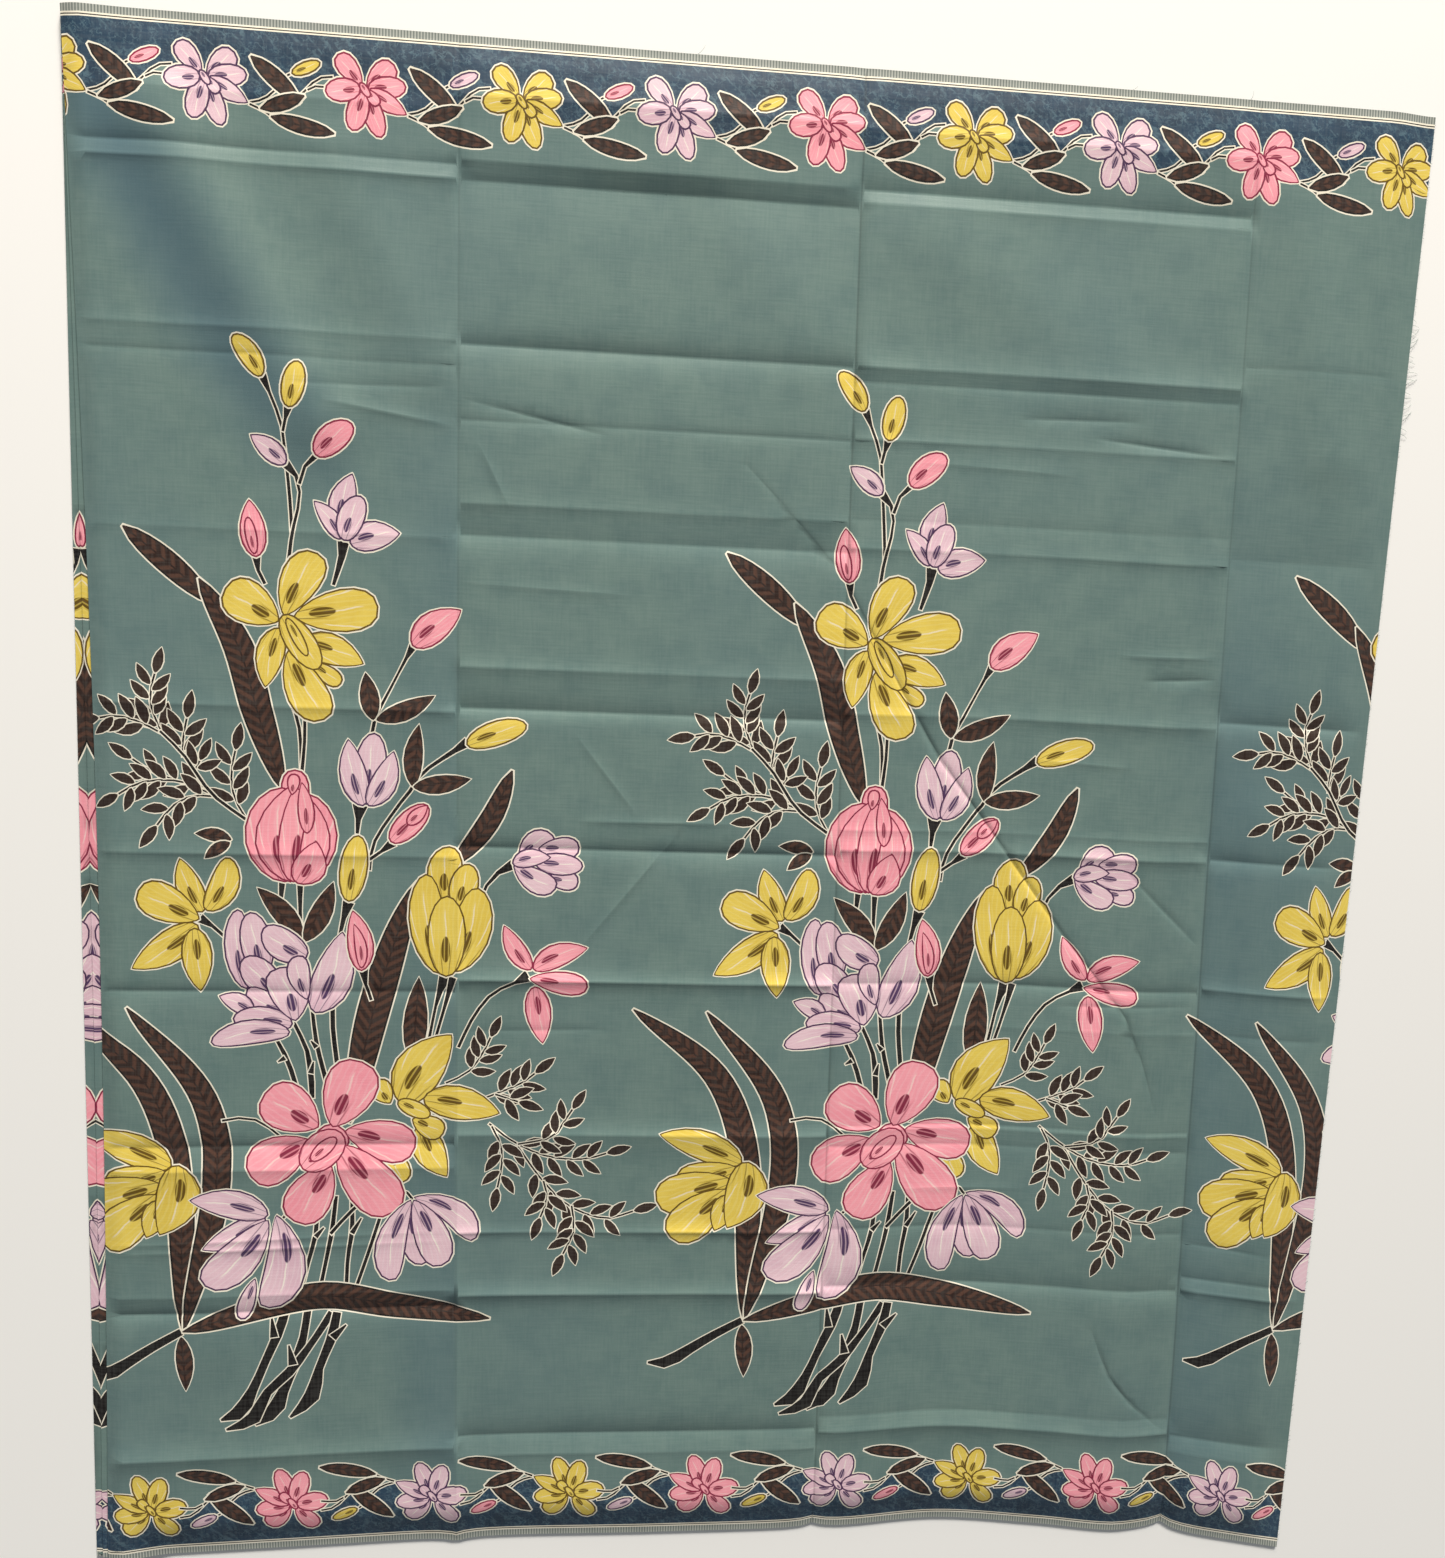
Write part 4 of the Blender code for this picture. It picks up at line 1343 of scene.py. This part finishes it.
def flecks(tree, places, along, across, detail=2.0, rough=0.5):
    """Soft noise with about so many flecks to a unit of the places, along and across."""
    stretched = add_node(tree, "VectorMath", {0: places, 1: (along, across, 1.0)}, operation="MULTIPLY")
    inputs = {"Vector": stretched, "Scale": 1.0, "Detail": detail, "Roughness": rough}
    return add_node(tree, "TexNoise", inputs)


def ripple(tree, value, rate, shift=0.0):
    """An even wave of a value. The rate is in radians, and the shift a number or a socket."""
    turn = add_node(tree, "Math", {0: value, 1: rate, 2: shift}, operation="MULTIPLY_ADD")
    return add_node(tree, "Math", {0: turn}, operation="SINE")


def past_spans(tree, most, *spans):
    """A share of up to most, whole where every value is past its span of (value, start, end)."""
    share = most
    for value, start, end in spans:
        span = add_node(tree, "MapRange", {0: value, 1: start, 2: end}, interpolation_type="SMOOTHSTEP")
        share = add_node(tree, "Math", {0: share, 1: span}, operation="MULTIPLY")
    return share


def stain(tree, tone, code, most, *spans):
    """Lays a colour over the tone where every value is past its span, up to a most share of it."""
    share = past_spans(tree, most, *spans)
    return add_node(tree, "Mix", {0: share, 6: tone, 7: colour(code)}, 2, data_type="RGBA")


def new_material(name):
    """A material with its node tree and its shader."""
    material = bpy.data.materials.new(name)
    material.use_nodes = True
    return material, material.node_tree, material.node_tree.nodes["Principled BSDF"]


# Real sizes in the cotton, in millimetres. The thread is 0.45 mm and is drawn twice as coarse,
# because the real one is finer than the picture's own dots.
THREAD = 0.9
SLUB_LENGTH = 24.0
SLUB_WIDTH = 1.6
SELVEDGE_TICK = 2.1
CHEVRON = 8.4

# The weave's relief: the bump's strength, its depth in metres, and how much slubs and threads rise.
WEAVE_STRENGTH = 0.22
WEAVE_DEPTH = 0.0002
SLUB_RISE = 1.2
THREAD_RISE = 0.25

# Cotton under a thin skin of wax: how rough it is at least, how much rougher it gets in places, how
# much light its skin throws back, and the sheen of its faint nap.
COTTON_ROUGHNESS = 0.41
ROUGHNESS_WANDER = 0.10
WAX_SPECULAR = 0.28
NAP_WEIGHT = 0.04
NAP_ROUGHNESS = 0.4


def waxed_cotton(name, dye, deep, marks=None):
    """Plain-woven cotton, dyed in a wax resist and calendered smooth: matt dye under a satin skin."""
    material, tree, shader = new_material("waxed cotton, " + name)
    add = partial(add_node, tree)
    cloth, along, across = places_in(tree, "cloth")

    # The dye takes a little deeper in clouds of about 3 cm, and thick threads catch more light.
    mottle = flecks(tree, cloth, 34.0, 34.0, 4.0, 0.6)
    tone = stain(tree, colour(dye), deep, 1.0, (mottle, 0.35, 0.70))
    warp = flecks(tree, cloth, MM / SLUB_WIDTH, MM / SLUB_LENGTH)
    weft = flecks(tree, cloth, MM / SLUB_LENGTH, MM / SLUB_WIDTH)
    slub = add("Math", {0: warp, 1: weft}, operation="ADD")
    tone = stain(tree, tone, "#e9eee6", 0.03, (slub, 0.70, 1.30))
    if marks:
        tone = marks(tree, tone)
    # Painted shade down the hardest folds and creases, as a dark hairline.
    tone = stain(tree, tone, "#0e1413", add("Attribute", None, "Fac", attribute_name="painted_shade"))

    warp_threads = ripple(tree, along, 2.0 * math.pi * MM / THREAD)
    weft_threads = ripple(tree, across, 2.0 * math.pi * MM / THREAD)
    weave = add("Math", {0: warp_threads, 1: weft_threads}, operation="MULTIPLY")
    weave = add("Math", {0: weave, 1: THREAD_RISE}, operation="MULTIPLY")
    height = add("Math", {0: slub, 1: SLUB_RISE, 2: weave}, operation="MULTIPLY_ADD")
    bump = add("Bump", {"Strength": WEAVE_STRENGTH, "Distance": WEAVE_DEPTH, "Height": height})
    gloss = add("Math", {0: mottle, 1: ROUGHNESS_WANDER, 2: COTTON_ROUGHNESS}, operation="MULTIPLY_ADD")
    tree.links.new(tone, shader.inputs["Base Color"])
    tree.links.new(gloss, shader.inputs["Roughness"])
    tree.links.new(bump, shader.inputs["Normal"])
    shader.inputs["Specular IOR Level"].default_value = WAX_SPECULAR
    shader.inputs["Sheen Weight"].default_value = NAP_WEIGHT
    shader.inputs["Sheen Roughness"].default_value = NAP_ROUGHNESS
    return material


def ground_tone_and_painted_shade(tree, tone):
    """The sage ground's tone, bluer in random clouds, with painted cool shade beside two folds and down
    one broad wave.
    """
    add = partial(add_node, tree)
    cloth, along, across = places_in(tree, "cloth")
    # Painted cool shade: left of the first upright fold, right of the last, and down the broad wave's
    # shaded side.
    painted_shade_left_of_first = ((along, -0.290, -0.222), (along, -0.213, -0.219), (across, 0.960, 0.780))
    painted_shade_right_of_last = ((along, 0.357, 0.364), (along, 0.475, 0.370), (across, 1.050, 0.500))
    # The wave slants, so its middle line is where this run from the hem's middle is 146 mm.
    run = add("VectorMath", {0: cloth, 1: (0.866, 0.50, 0.0)}, "Value", operation="DOT_PRODUCT")
    painted_shade_on_wave = ((run, 0.091, 0.146), (run, 0.201, 0.146), (across, 0.78, 0.92))
    share = past_spans(tree, 0.34, *painted_shade_left_of_first)
    for other in (past_spans(tree, 0.50, *painted_shade_right_of_last), past_spans(tree, 1.0, *painted_shade_on_wave)):
        share = add("Math", {0: share, 1: other}, operation="MAXIMUM")
    uneven = flecks(tree, cloth, 5.0, 2.4, 2.0, 0.45)
    uneven_share = add("Math", {0: uneven, 1: 0.7, 2: 0.35}, operation="MULTIPLY_ADD")
    share = add("Math", {0: share, 1: uneven_share}, operation="MULTIPLY")
    tone = stain(tree, tone, "#5d767d", 0.25, (uneven, 0.40, 0.75))
    return stain(tree, tone, "#4c6876", share)


def navy_marks(tree, tone):
    """Crackle: where the wax cracked, the navy is cut by paler veins and clouds."""
    cloth, _, _ = places_in(tree, "cloth")
    wander = flecks(tree, cloth, 160.0, 160.0, 3.0, 0.6)
    bent = {0: wander, 1: (0.02, -0.02, 0.0), 2: cloth}
    bent = add_node(tree, "VectorMath", bent, operation="MULTIPLY_ADD")
    cracks = add_node(tree, "TexVoronoi", {"Vector": bent, "Scale": 150.0}, feature="DISTANCE_TO_EDGE")
    cloud = flecks(tree, cloth, 130.0, 130.0, 4.0, 0.65)
    tone = stain(tree, tone, "#35566b", 0.6, (cloud, 0.52, 0.78))
    return stain(tree, tone, "#6f8b95", 0.40, (cracks, 0.12, 0.01), (cloud, 0.35, 0.60))


# A petal's seed, in shares of the petal: its middle and its half size, (along, across).
SEED_SPOT = (0.34, 0.04)
SEED_SIZE = (0.17, 0.24)


def petal_marks(mark, pale, strokes):
    """A petal's hand-drawn marks: pale and dark strokes up its length, and a dark hatched seed."""

    def marks(tree, tone):
        add = partial(add_node, tree)
        pattern, run, across = places_in(tree, "pattern")
        waver = flecks(tree, pattern, 3.0, 2.0)

        # Fine pale lines from end to end.
        shift = add("Math", {0: waver, 1: 8.0}, operation="MULTIPLY")
        tone = stain(tree, tone, pale, 0.30, (ripple(tree, across, 26.0, shift), 0.1, 1.0))

        # Bare strokes that fan out from the base, and dark ones between them at its foot.
        widening = add("Math", {0: run, 1: 0.9, 2: 0.25}, operation="MULTIPLY_ADD")
        fan = add("Math", {0: across, 1: widening}, operation="DIVIDE")
        shift = add("Math", {0: waver, 1: 2.2}, operation="MULTIPLY")
        spread = ripple(tree, fan, 6.5, shift)
        inside = ((run, 0.30, 0.42), (run, 0.86, 0.74))
        tone = stain(tree, tone, "#f6f0e4", strokes, (spread, 0.93, 0.995), *inside)
        tone = stain(tree, tone, mark, 0.60, (spread, -0.80, -0.98), (run, 0.50, 0.15))

        # The seed, an oval of dark hatching.
        rates = (1.0 / SEED_SIZE[0], 1.0 / SEED_SIZE[1], 0.0)
        start = (-SEED_SPOT[0] / SEED_SIZE[0], -SEED_SPOT[1] / SEED_SIZE[1], 0.0)
        seed = add("VectorMath", {0: pattern, 1: rates, 2: start}, operation="MULTIPLY_ADD")
        reach = add("VectorMath", {0: seed, 1: seed}, "Value", operation="DOT_PRODUCT")
        hatch = ripple(tree, across, 30.0, math.pi / 2.0)
        ink = {0: hatch, 1: -0.9, 2: -0.2, 3: 0.45, 4: 0.95}
        ink = add("MapRange", ink, interpolation_type="SMOOTHSTEP")
        return stain(tree, tone, mark, ink, (reach, 1.0, 0.75))

    return marks


def leaf_marks(tree, tone):
    """Chevron veins: pale brown strokes that slant out from a dark middle line."""
    add = partial(add_node, tree)
    _, run, across = places_in(tree, "pattern")
    side = add("Math", {0: across}, operation="ABSOLUTE")
    slant = add("Math", {0: side, 1: 0.95, 2: run}, operation="MULTIPLY_ADD")
    veins = ripple(tree, slant, 2.0 * math.pi * PATTERN_UNIT / CHEVRON)
    brush = flecks(tree, places_in(tree, "cloth")[0], 700.0, 700.0)
    brushed = add("Math", {0: brush, 1: 0.25}, operation="ADD")
    return stain(tree, tone, "#5e4236", brushed, (veins, -0.6, 0.9), (side, 0.02, 0.10))


def selvedge_marks(tree, tone):
    """The selvedge's edge threads: grey weft ends that stand square to the edge."""
    _, along, _ = places_in(tree, "cloth")
    ticks = ripple(tree, along, 2.0 * math.pi * MM / SELVEDGE_TICK)
    return stain(tree, tone, "#55605e", 0.75, (ticks, -0.4, 0.5))


def cottons():
    """The cotton of each dye, in the order of the material slots."""
    looks = {
        # Sage, a grey green that leans to blue in random clouds and in painted cool shade beside folds. It
        # is most of what shows.
        "ground": ("sage ground with painted cool shade", "#6a827d", "#617a77", ground_tone_and_painted_shade),
        # Deep blue with paler cracks, so that the borders stand darker than the ground.
        "navy": ("crackled navy", "#274056", "#1f3549", navy_marks),
        # The cotton's own cream, where wax kept the dye out. It sets each motif off the ground.
        "resist": ("undyed resist line", "#f5efde", "#ebe4d0"),
        # Clear yellow, with brown drawing.
        "yellow": ("yellow dye", "#e8ce5c", "#dfc350", petal_marks("#594008", "#eedd86", 0.55)),
        "yellow_line": ("yellow drawn line", "#6b5210", "#5c460d"),
        # The warmest and brightest dye, with wine-red drawing.
        "rose": ("rose dye", "#faa6b2", "#f499a8", petal_marks("#7c1438", "#f9c2ca", 0.45)),
        "rose_line": ("rose drawn line", "#8f2446", "#80203e"),
        # The palest dye, with strong bare strokes and purple drawing.
        "lilac": ("lilac dye", "#e9c8d2", "#ddb7c6", petal_marks("#3b2052", "#efdce2", 0.85)),
        "lilac_line": ("lilac drawn line", "#4f2f55", "#44284b"),
        # Near-black brown, with paler brown chevrons on long leaves and none on small ones.
        "leaf": ("brown leaf dye", "#33231e", "#2b1d19", leaf_marks),
        "leaflet": ("plain brown leaf dye", "#37271f", "#2b1e1a"),
        # Stems and the outlines of leaves, a little darker than the leaves.
        "black": ("black dye", "#171211", "#120e0e"),
        # Pale grey with darker ticks, like the teeth of a comb.
        "selvedge": ("woven selvedge", "#b0b4ac", "#a4a8a1", selvedge_marks),
    }
    return [waxed_cotton(*looks[dye]) for dye in DYES]


def thread_cotton():
    """Loose weft ends: unwaxed cotton, matt, its colour broken where the dye took unevenly."""
    material, tree, shader = new_material("cotton thread, loose weft ends")
    place = add_node(tree, "TexCoord", None, "Object")
    patches = add_node(tree, "TexNoise", {"Vector": place, "Scale": 900.0, "Detail": 2.0})
    tree.links.new(stain(tree, colour("#8fa39a"), "#5f756f", patches), shader.inputs["Base Color"])
    shader.inputs["Roughness"].default_value = 0.9
    return material


# The pleat that shows on the left, and the lower leaf, in metres. STRIP_CREASE_SHARE is how far the
# pleat's crease lies from its edge towards the fold, and PLEAT_PRINT_TOP is in cloth millimetres.
STRIP_EDGE_AT_HEM = -0.4925
STRIP_EDGE_AT_TOP = -0.4840
STRIP_CREASE_SHARE = 0.55
STRIP_STEP = 0.0004
LOWEST_LAYER_TOP = 0.0018
LOWEST_LAYER_RIM = 0.0010
UNDER_SAG = 0.0004
STRIP_INSET = 0.0012
PLEAT_LIFT = 0.00012
PLEAT_THICKNESS = 0.00008
PLEAT_TUCK = 0.004
PLEAT_PRINT_SHIFT = 0.549
PLEAT_PRINT_TOP = 800.0
PLEAT_ROW_STEP = 0.004
PLEAT_ROW_END = 0.002
LOWER_LEAF_RIM = 0.00035
LOWER_LEAF_INSET = 0.0035

# The lower leaf's even grid, and the closer rows that follow the face down to its selvedges.
UNDER_ALONGS = (-0.466, 0.480)
UNDER_ACROSSES = (0.060, 1.100)
UNDER_RIM_ROWS = (0.012, 0.022, 0.034)


def strip_edge(across):
    """How far the lowest layer sticks out on the left."""
    return STRIP_EDGE_AT_HEM + (STRIP_EDGE_AT_TOP - STRIP_EDGE_AT_HEM) * across / CUT_WIDTH


def strip_crease(across):
    """The crease between the pleat's two layers."""
    edge = strip_edge(across)
    return edge + (fold_edge(across) - edge) * STRIP_CREASE_SHARE


def layers_height(along, across):
    """The height of the layers under the upper leaf, clear of its deepest fold."""
    crown = np.sqrt(smooth((along - fold_edge(across)) / FOLD_ROUNDING))
    clear = CLOTH_WALL + LAYER_GAP + UNDER_SAG * crown
    height = RIM_TOP - clear + rim_share(along, across) * (EDGE_RISE + (CROWN_RISE - RELIEF_LIMIT) * crown)
    return np.maximum(height, LOWER_LEAF_RIM)


def strip_height(across):
    """The height of the pleat's upper layer, where the upper leaf's fold lies on it."""
    return layers_height(fold_edge(across), across)


def lower_layer_height(along, across):
    """The height of the pleat's lower layer."""
    edge, crease = strip_edge(across), strip_crease(across) - STRIP_STEP
    share = np.clip((along - edge) / (crease - edge), 0.0, 1.0)
    return LOWEST_LAYER_RIM + (LOWEST_LAYER_TOP - LOWEST_LAYER_RIM) * share


def pleat_front(printed, across):
    """Points of the pleat's upper layer, at places of its own print."""
    x, y = on_floor(printed - PLEAT_PRINT_SHIFT, across)
    return np.stack([x, y, strip_height(across) + PLEAT_LIFT], axis=1)


def pleat_back(printed, across):
    """Points of the pleat's lower layer, whose print runs back from the crease."""
    along = 2.0 * strip_crease(across) - (printed - PLEAT_PRINT_SHIFT)
    x, y = on_floor(along, across)
    return np.stack([x, y, lower_layer_height(along, across) + PLEAT_LIFT], axis=1)


def pleat_outline(near, far):
    """The cut of one layer of the pleat, in its print's millimetres, between two of its edges."""
    acrosses = np.arange(STRIP_INSET, CUT_WIDTH - STRIP_INSET, OUTLINE_STEP / MM)
    left = np.stack([near(acrosses), acrosses], axis=1)
    right = np.stack([far(acrosses), acrosses], axis=1)
    return np.concatenate([right, left[::-1]]) * MM


def lowered(place):
    """The same layer's other side, one thin thickness lower."""

    def lower(along, across):
        return place(along, across) - np.array([0.0, 0.0, PLEAT_THICKNESS])

    return lower


def below_level(drawing, level):
    """The same print without its patches between a level and the top border."""
    border = CUT_WIDTH * MM - BORDER_DEPTH
    lower = Drawing()
    for patch in drawing.patches:
        middle = patch[1][:, 1].mean()
        if middle < level or middle > border:
            lower.patches.append(patch)
    return lower


def pleat_layers(drawing):
    """The two printed layers of the pleat."""

    def crease(across):
        return strip_crease(across) + PLEAT_PRINT_SHIFT

    def tuck(across):
        return fold_edge(across) + PLEAT_PRINT_SHIFT + PLEAT_TUCK

    def turned_edge(across):
        return 2.0 * strip_crease(across) - strip_edge(across) + PLEAT_PRINT_SHIFT

    drawing = below_level(drawing, PLEAT_PRINT_TOP)
    front_cut, back_cut = pleat_outline(crease, tuck), pleat_outline(crease, turned_edge)
    front = printed_shell(
        "pleat_upper_layer", drawing, front_cut, NO_FOLDS, pleat_front, NO_PLACES, lowered(pleat_front)
    )
    back = printed_shell(
        "pleat_lower_layer", drawing, back_cut, NO_FOLDS, pleat_back, NO_PLACES, lowered(pleat_back),
        turned=True,
    )
    return front, back


def lower_face(printed, across):
    """Points of the lower leaf's face, which lies flat on the floor with its print down."""
    x, y = on_floor(-printed, across)
    return np.stack([x, y, np.zeros_like(x)], axis=1)


def lower_back(printed, across):
    """Points on top of the folded layers, from the pleat on the left to the raw cut."""
    along = -printed
    x, y = on_floor(along, across)
    crease = strip_crease(across)
    step = np.clip((along - crease) / STRIP_STEP + 1.0, 0.0, 1.0)
    low = lower_layer_height(along, across)
    pleat = low + (strip_height(across) - low) * step
    height = np.where(along < fold_edge(across), pleat, layers_height(along, across))
    return np.stack([x, y, height], axis=1)


def lower_leaf(drawing):
    """The lower leaf and the layers folded in with it, printed on its underside."""
    low, high = LOWER_LEAF_INSET, CUT_WIDTH - LOWER_LEAF_INSET
    step = OUTLINE_STEP / MM
    left = np.arange(low, high, step)
    right = np.arange(high, low, -step)
    hem = np.arange(strip_edge(low), raw_edge(low) - LOWER_LEAF_INSET, step)
    head = np.arange(raw_edge(high) - LOWER_LEAF_INSET, strip_edge(high), -step)
    around = np.concatenate([
        np.stack([strip_edge(right), right], axis=1),
        np.stack([hem, np.full_like(hem, low)], axis=1),
        np.stack([raw_edge(left) - LOWER_LEAF_INSET, left], axis=1),
        np.stack([head, np.full_like(head, high)], axis=1),
    ])
    outline = around[::-1] * (-MM, MM)
    alongs = np.arange(*UNDER_ALONGS, BACK_STEP / MM)
    acrosses = np.arange(*UNDER_ACROSSES, BACK_STEP / MM)
    acrosses = np.concatenate([UNDER_RIM_ROWS, acrosses, CUT_WIDTH - np.array(UNDER_RIM_ROWS[::-1])])
    inner = np.stack(np.meshgrid(alongs, acrosses), axis=2).reshape(-1, 2)
    inner = inner[inner[:, 0] < raw_edge(inner[:, 1]) - 2.0 * LOWER_LEAF_INSET]
    rows = np.arange(low + PLEAT_ROW_END, high - PLEAT_ROW_END, PLEAT_ROW_STEP)
    pleat_rows = [
        np.stack([line, rows], axis=1)
        for line in (strip_crease(rows) - STRIP_STEP, strip_crease(rows), fold_edge(rows))
    ]
    points = np.concatenate([inner, *pleat_rows]) * (-MM, MM)
    return printed_shell("lower_leaf_print", drawing, outline, NO_FOLDS, lower_face, points, lower_back)


# Loose threads: the raw cut frays all along, most where the cut was pulled. Lengths and places are in
# metres, and THREAD_CORNERS are turns round a thread in radians.
THREAD_RADIUS = 0.00016
THREAD_TAPER = 0.5
THREAD_CORNERS = (0.5, 2.6, 4.7)
THREAD_POINTS = 6
THREAD_DROP = 0.0004
THREAD_SAG = 0.0006
THREAD_LIFT = 0.0005
THREAD_INSET = 0.0006
FRAY_STEP = 0.0045
FRAY_LENGTH = 0.0022
PULLED_STRETCH = (0.915, 1.005)
PULLED_LENGTH = 0.0075
FRAY_START = 0.006
FRAY_END = 0.004
FRAY_UNEVENNESS = 0.35

# The loose ends on the top selvedge: (along, length, heading in radians), and how they all curl.
TOP_CURL = 0.8
TOP_THREADS = ((-0.052, 0.010, 0.55), (0.262, 0.007, 0.25), (0.352, 0.008, 0.90))


def thread_tube(path):
    """Points and triangles of a thin three-sided thread along a path, tapering at its end."""
    ways = np.gradient(path, axis=0)
    ways /= np.linalg.norm(ways, axis=1)[:, None]
    aside = np.cross(ways, [0.0, 0.0, 1.0])
    aside /= np.linalg.norm(aside, axis=1)[:, None]
    above = np.cross(aside, ways)
    radii = THREAD_RADIUS * np.linspace(1.0, THREAD_TAPER, len(path))[:, None]
    rings = [path + radii * (math.cos(turn) * aside + math.sin(turn) * above) for turn in THREAD_CORNERS]
    points = np.stack(rings, axis=1).reshape(-1, 3)
    triangles = [(0, 1, 2), (len(points) - 1, len(points) - 2, len(points) - 3)]
    for k in range(len(path) - 1):
        for side in range(3):
            a, b = 3 * k + side, 3 * k + (side + 1) % 3
            triangles += [(a, a + 3, b + 3), (a, b + 3, b)]
    return points, triangles


def loose_thread(along, across, length, turn, curl):
    """The path of a thread that leaves the cloth at a place, headed by turn, and curls."""
    shares = np.linspace(0.0, 1.0, THREAD_POINTS)
    headings = turn + curl * shares
    steps = np.stack([np.cos(headings), np.sin(headings)], axis=1) * length / (THREAD_POINTS - 1)
    x, y = on_floor(np.array([along]), np.array([across]))
    flat = np.array([x[0], y[0]]) + np.concatenate([[[0.0, 0.0]], np.cumsum(steps[:-1], axis=0)])
    start = face_height(np.array([along]), np.array([across]))[0]
    height = start - THREAD_DROP - THREAD_SAG * shares + THREAD_LIFT * np.sin(3.0 * shares + turn)
    return np.column_stack([flat, height])


def loose_threads():
    """The frayed weft ends at the raw cut, and three loose ends on the top selvedge."""
    paths = []
    for k, across in enumerate(np.arange(FRAY_START, CUT_WIDTH - FRAY_END, FRAY_STEP)):
        pulled = PULLED_STRETCH[0] < across < PULLED_STRETCH[1]
        # Sines of unlike rates stand for chance, and give the same threads each time.
        sway = math.sin(7.3 * k) + 0.6 * math.sin(3.1 * k + 1.0)
        length = (PULLED_LENGTH if pulled else FRAY_LENGTH) * (1.0 + FRAY_UNEVENNESS * sway)
        start = raw_edge(across) - THREAD_INSET
        paths.append(loose_thread(start, across, length, 0.5 * sway, -0.9 * math.sin(5.7 * k)))
    for along, length, turn in TOP_THREADS:
        paths.append(loose_thread(along, CUT_WIDTH - THREAD_INSET, length, turn, TOP_CURL))
    points, triangles = [], []
    for path in paths:
        tube, faces = thread_tube(path)
        first = len(points)
        points += tube.tolist()
        triangles += [tuple(first + corner for corner in face) for face in faces]
    mesh = bpy.data.meshes.new("loose_threads")
    mesh.from_pydata(points, [], triangles)
    mesh.shade_smooth()
    mesh.materials.append(thread_cotton())
    piece = bpy.data.objects.new("loose_threads", mesh)
    bpy.context.scene.collection.objects.link(piece)
    return piece


# The floor, and low light from beyond the top selvedge, which rakes the level folds. Lamps are
# (name, kind, colour, strength, (what softens its shadows, how much), spot).
FLOOR_REACH = 6.0
SKY_STRENGTH = 0.25
LAMPS = (
    ("window", "AREA", "#fff4e6", 66.0, ("size", 1.2), (-0.1, 2.6, 1.05)),
    ("daylight", "SUN", "#fffaf2", 3.9, ("angle", 0.20), (0.7, 3.0, 1.15)),
)


def pale_floor():
    """A pale, matt floor. It is painted board, which throws soft light back and shines nowhere."""
    corners = [(x * FLOOR_REACH, y * FLOOR_REACH, 0.0) for x, y in ((-1, -1), (1, -1), (1, 1), (-1, 1))]
    mesh = bpy.data.meshes.new("floor")
    mesh.from_pydata(corners, [], [(0, 1, 2, 3)])
    floor = bpy.data.objects.new("floor", mesh)
    bpy.context.scene.collection.objects.link(floor)
    material, _, shader = new_material("pale floor")
    shader.inputs["Base Color"].default_value = colour("#f4f4f2")
    shader.inputs["Roughness"].default_value = 0.9
    mesh.materials.append(material)


def studio_light():
    """A faint sky, and the lamps, aimed at the cloth's middle."""
    world = bpy.data.worlds.new("studio")
    world.use_nodes = True
    sky = world.node_tree.nodes["Background"]
    sky.inputs["Color"].default_value = colour("#eef2f6")
    sky.inputs["Strength"].default_value = SKY_STRENGTH
    bpy.context.scene.world = world
    for name, kind, code, strength, (softener, softness), spot in LAMPS:
        lamp = bpy.data.lights.new(name, kind)
        lamp.energy = strength
        lamp.color = colour(code)[:3]
        setattr(lamp, softener, softness)
        holder = bpy.data.objects.new(name, lamp)
        bpy.context.scene.collection.objects.link(holder)
        holder.location = spot
        holder.rotation_euler = (-Vector(spot)).to_track_quat("-Z", "Y").to_euler()


# The camera, worked out from where the cloth's corners and borders lie in the photo.
# Its turn is an axis whose length is the angle in radians.
CAMERA_SPOT = (-0.1061, 0.1820, 1.0067)
CAMERA_TURN = (-0.1215, -0.0833, 0.0339)
CAMERA_LENS = 31.19
SENSOR_HEIGHT = 36.0


def set_camera():
    """Looks down on the cloth from just above its middle, as the photo does."""
    data = bpy.data.cameras.new("camera")
    data.sensor_fit = "VERTICAL"
    data.sensor_height = SENSOR_HEIGHT
    data.lens = CAMERA_LENS
    camera = bpy.data.objects.new("camera", data)
    bpy.context.scene.collection.objects.link(camera)
    turn = Vector(CAMERA_TURN)
    turned = Matrix.Rotation(turn.length, 4, turn.normalized())
    camera.matrix_world = Matrix.Translation(CAMERA_SPOT) @ turned
    bpy.context.scene.camera = camera


def dress():
    """Lays the printed face and the pleat over the frame's solids."""
    swatches = cottons()
    drawing = whole_print(RAW_EDGE_AT_TOP * MM)
    upper = printed_shell(
        "upper_leaf_print", drawing, leaf_outline(), face_points(), upper_face, back_points(), upper_back
    )
    lower = lower_leaf(drawing)
    front, back = pleat_layers(drawing)
    threads = loose_threads()
    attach(threads, "root")
    for piece in (upper, lower, front, back):
        for swatch in swatches:
            piece.data.materials.append(swatch)
        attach(piece, "root")
    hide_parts("upper_leaf")
    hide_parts("under_layers")


bpy.context.scene.view_settings.view_transform = "Standard"
set_camera()
pale_floor()
studio_light()
dress()
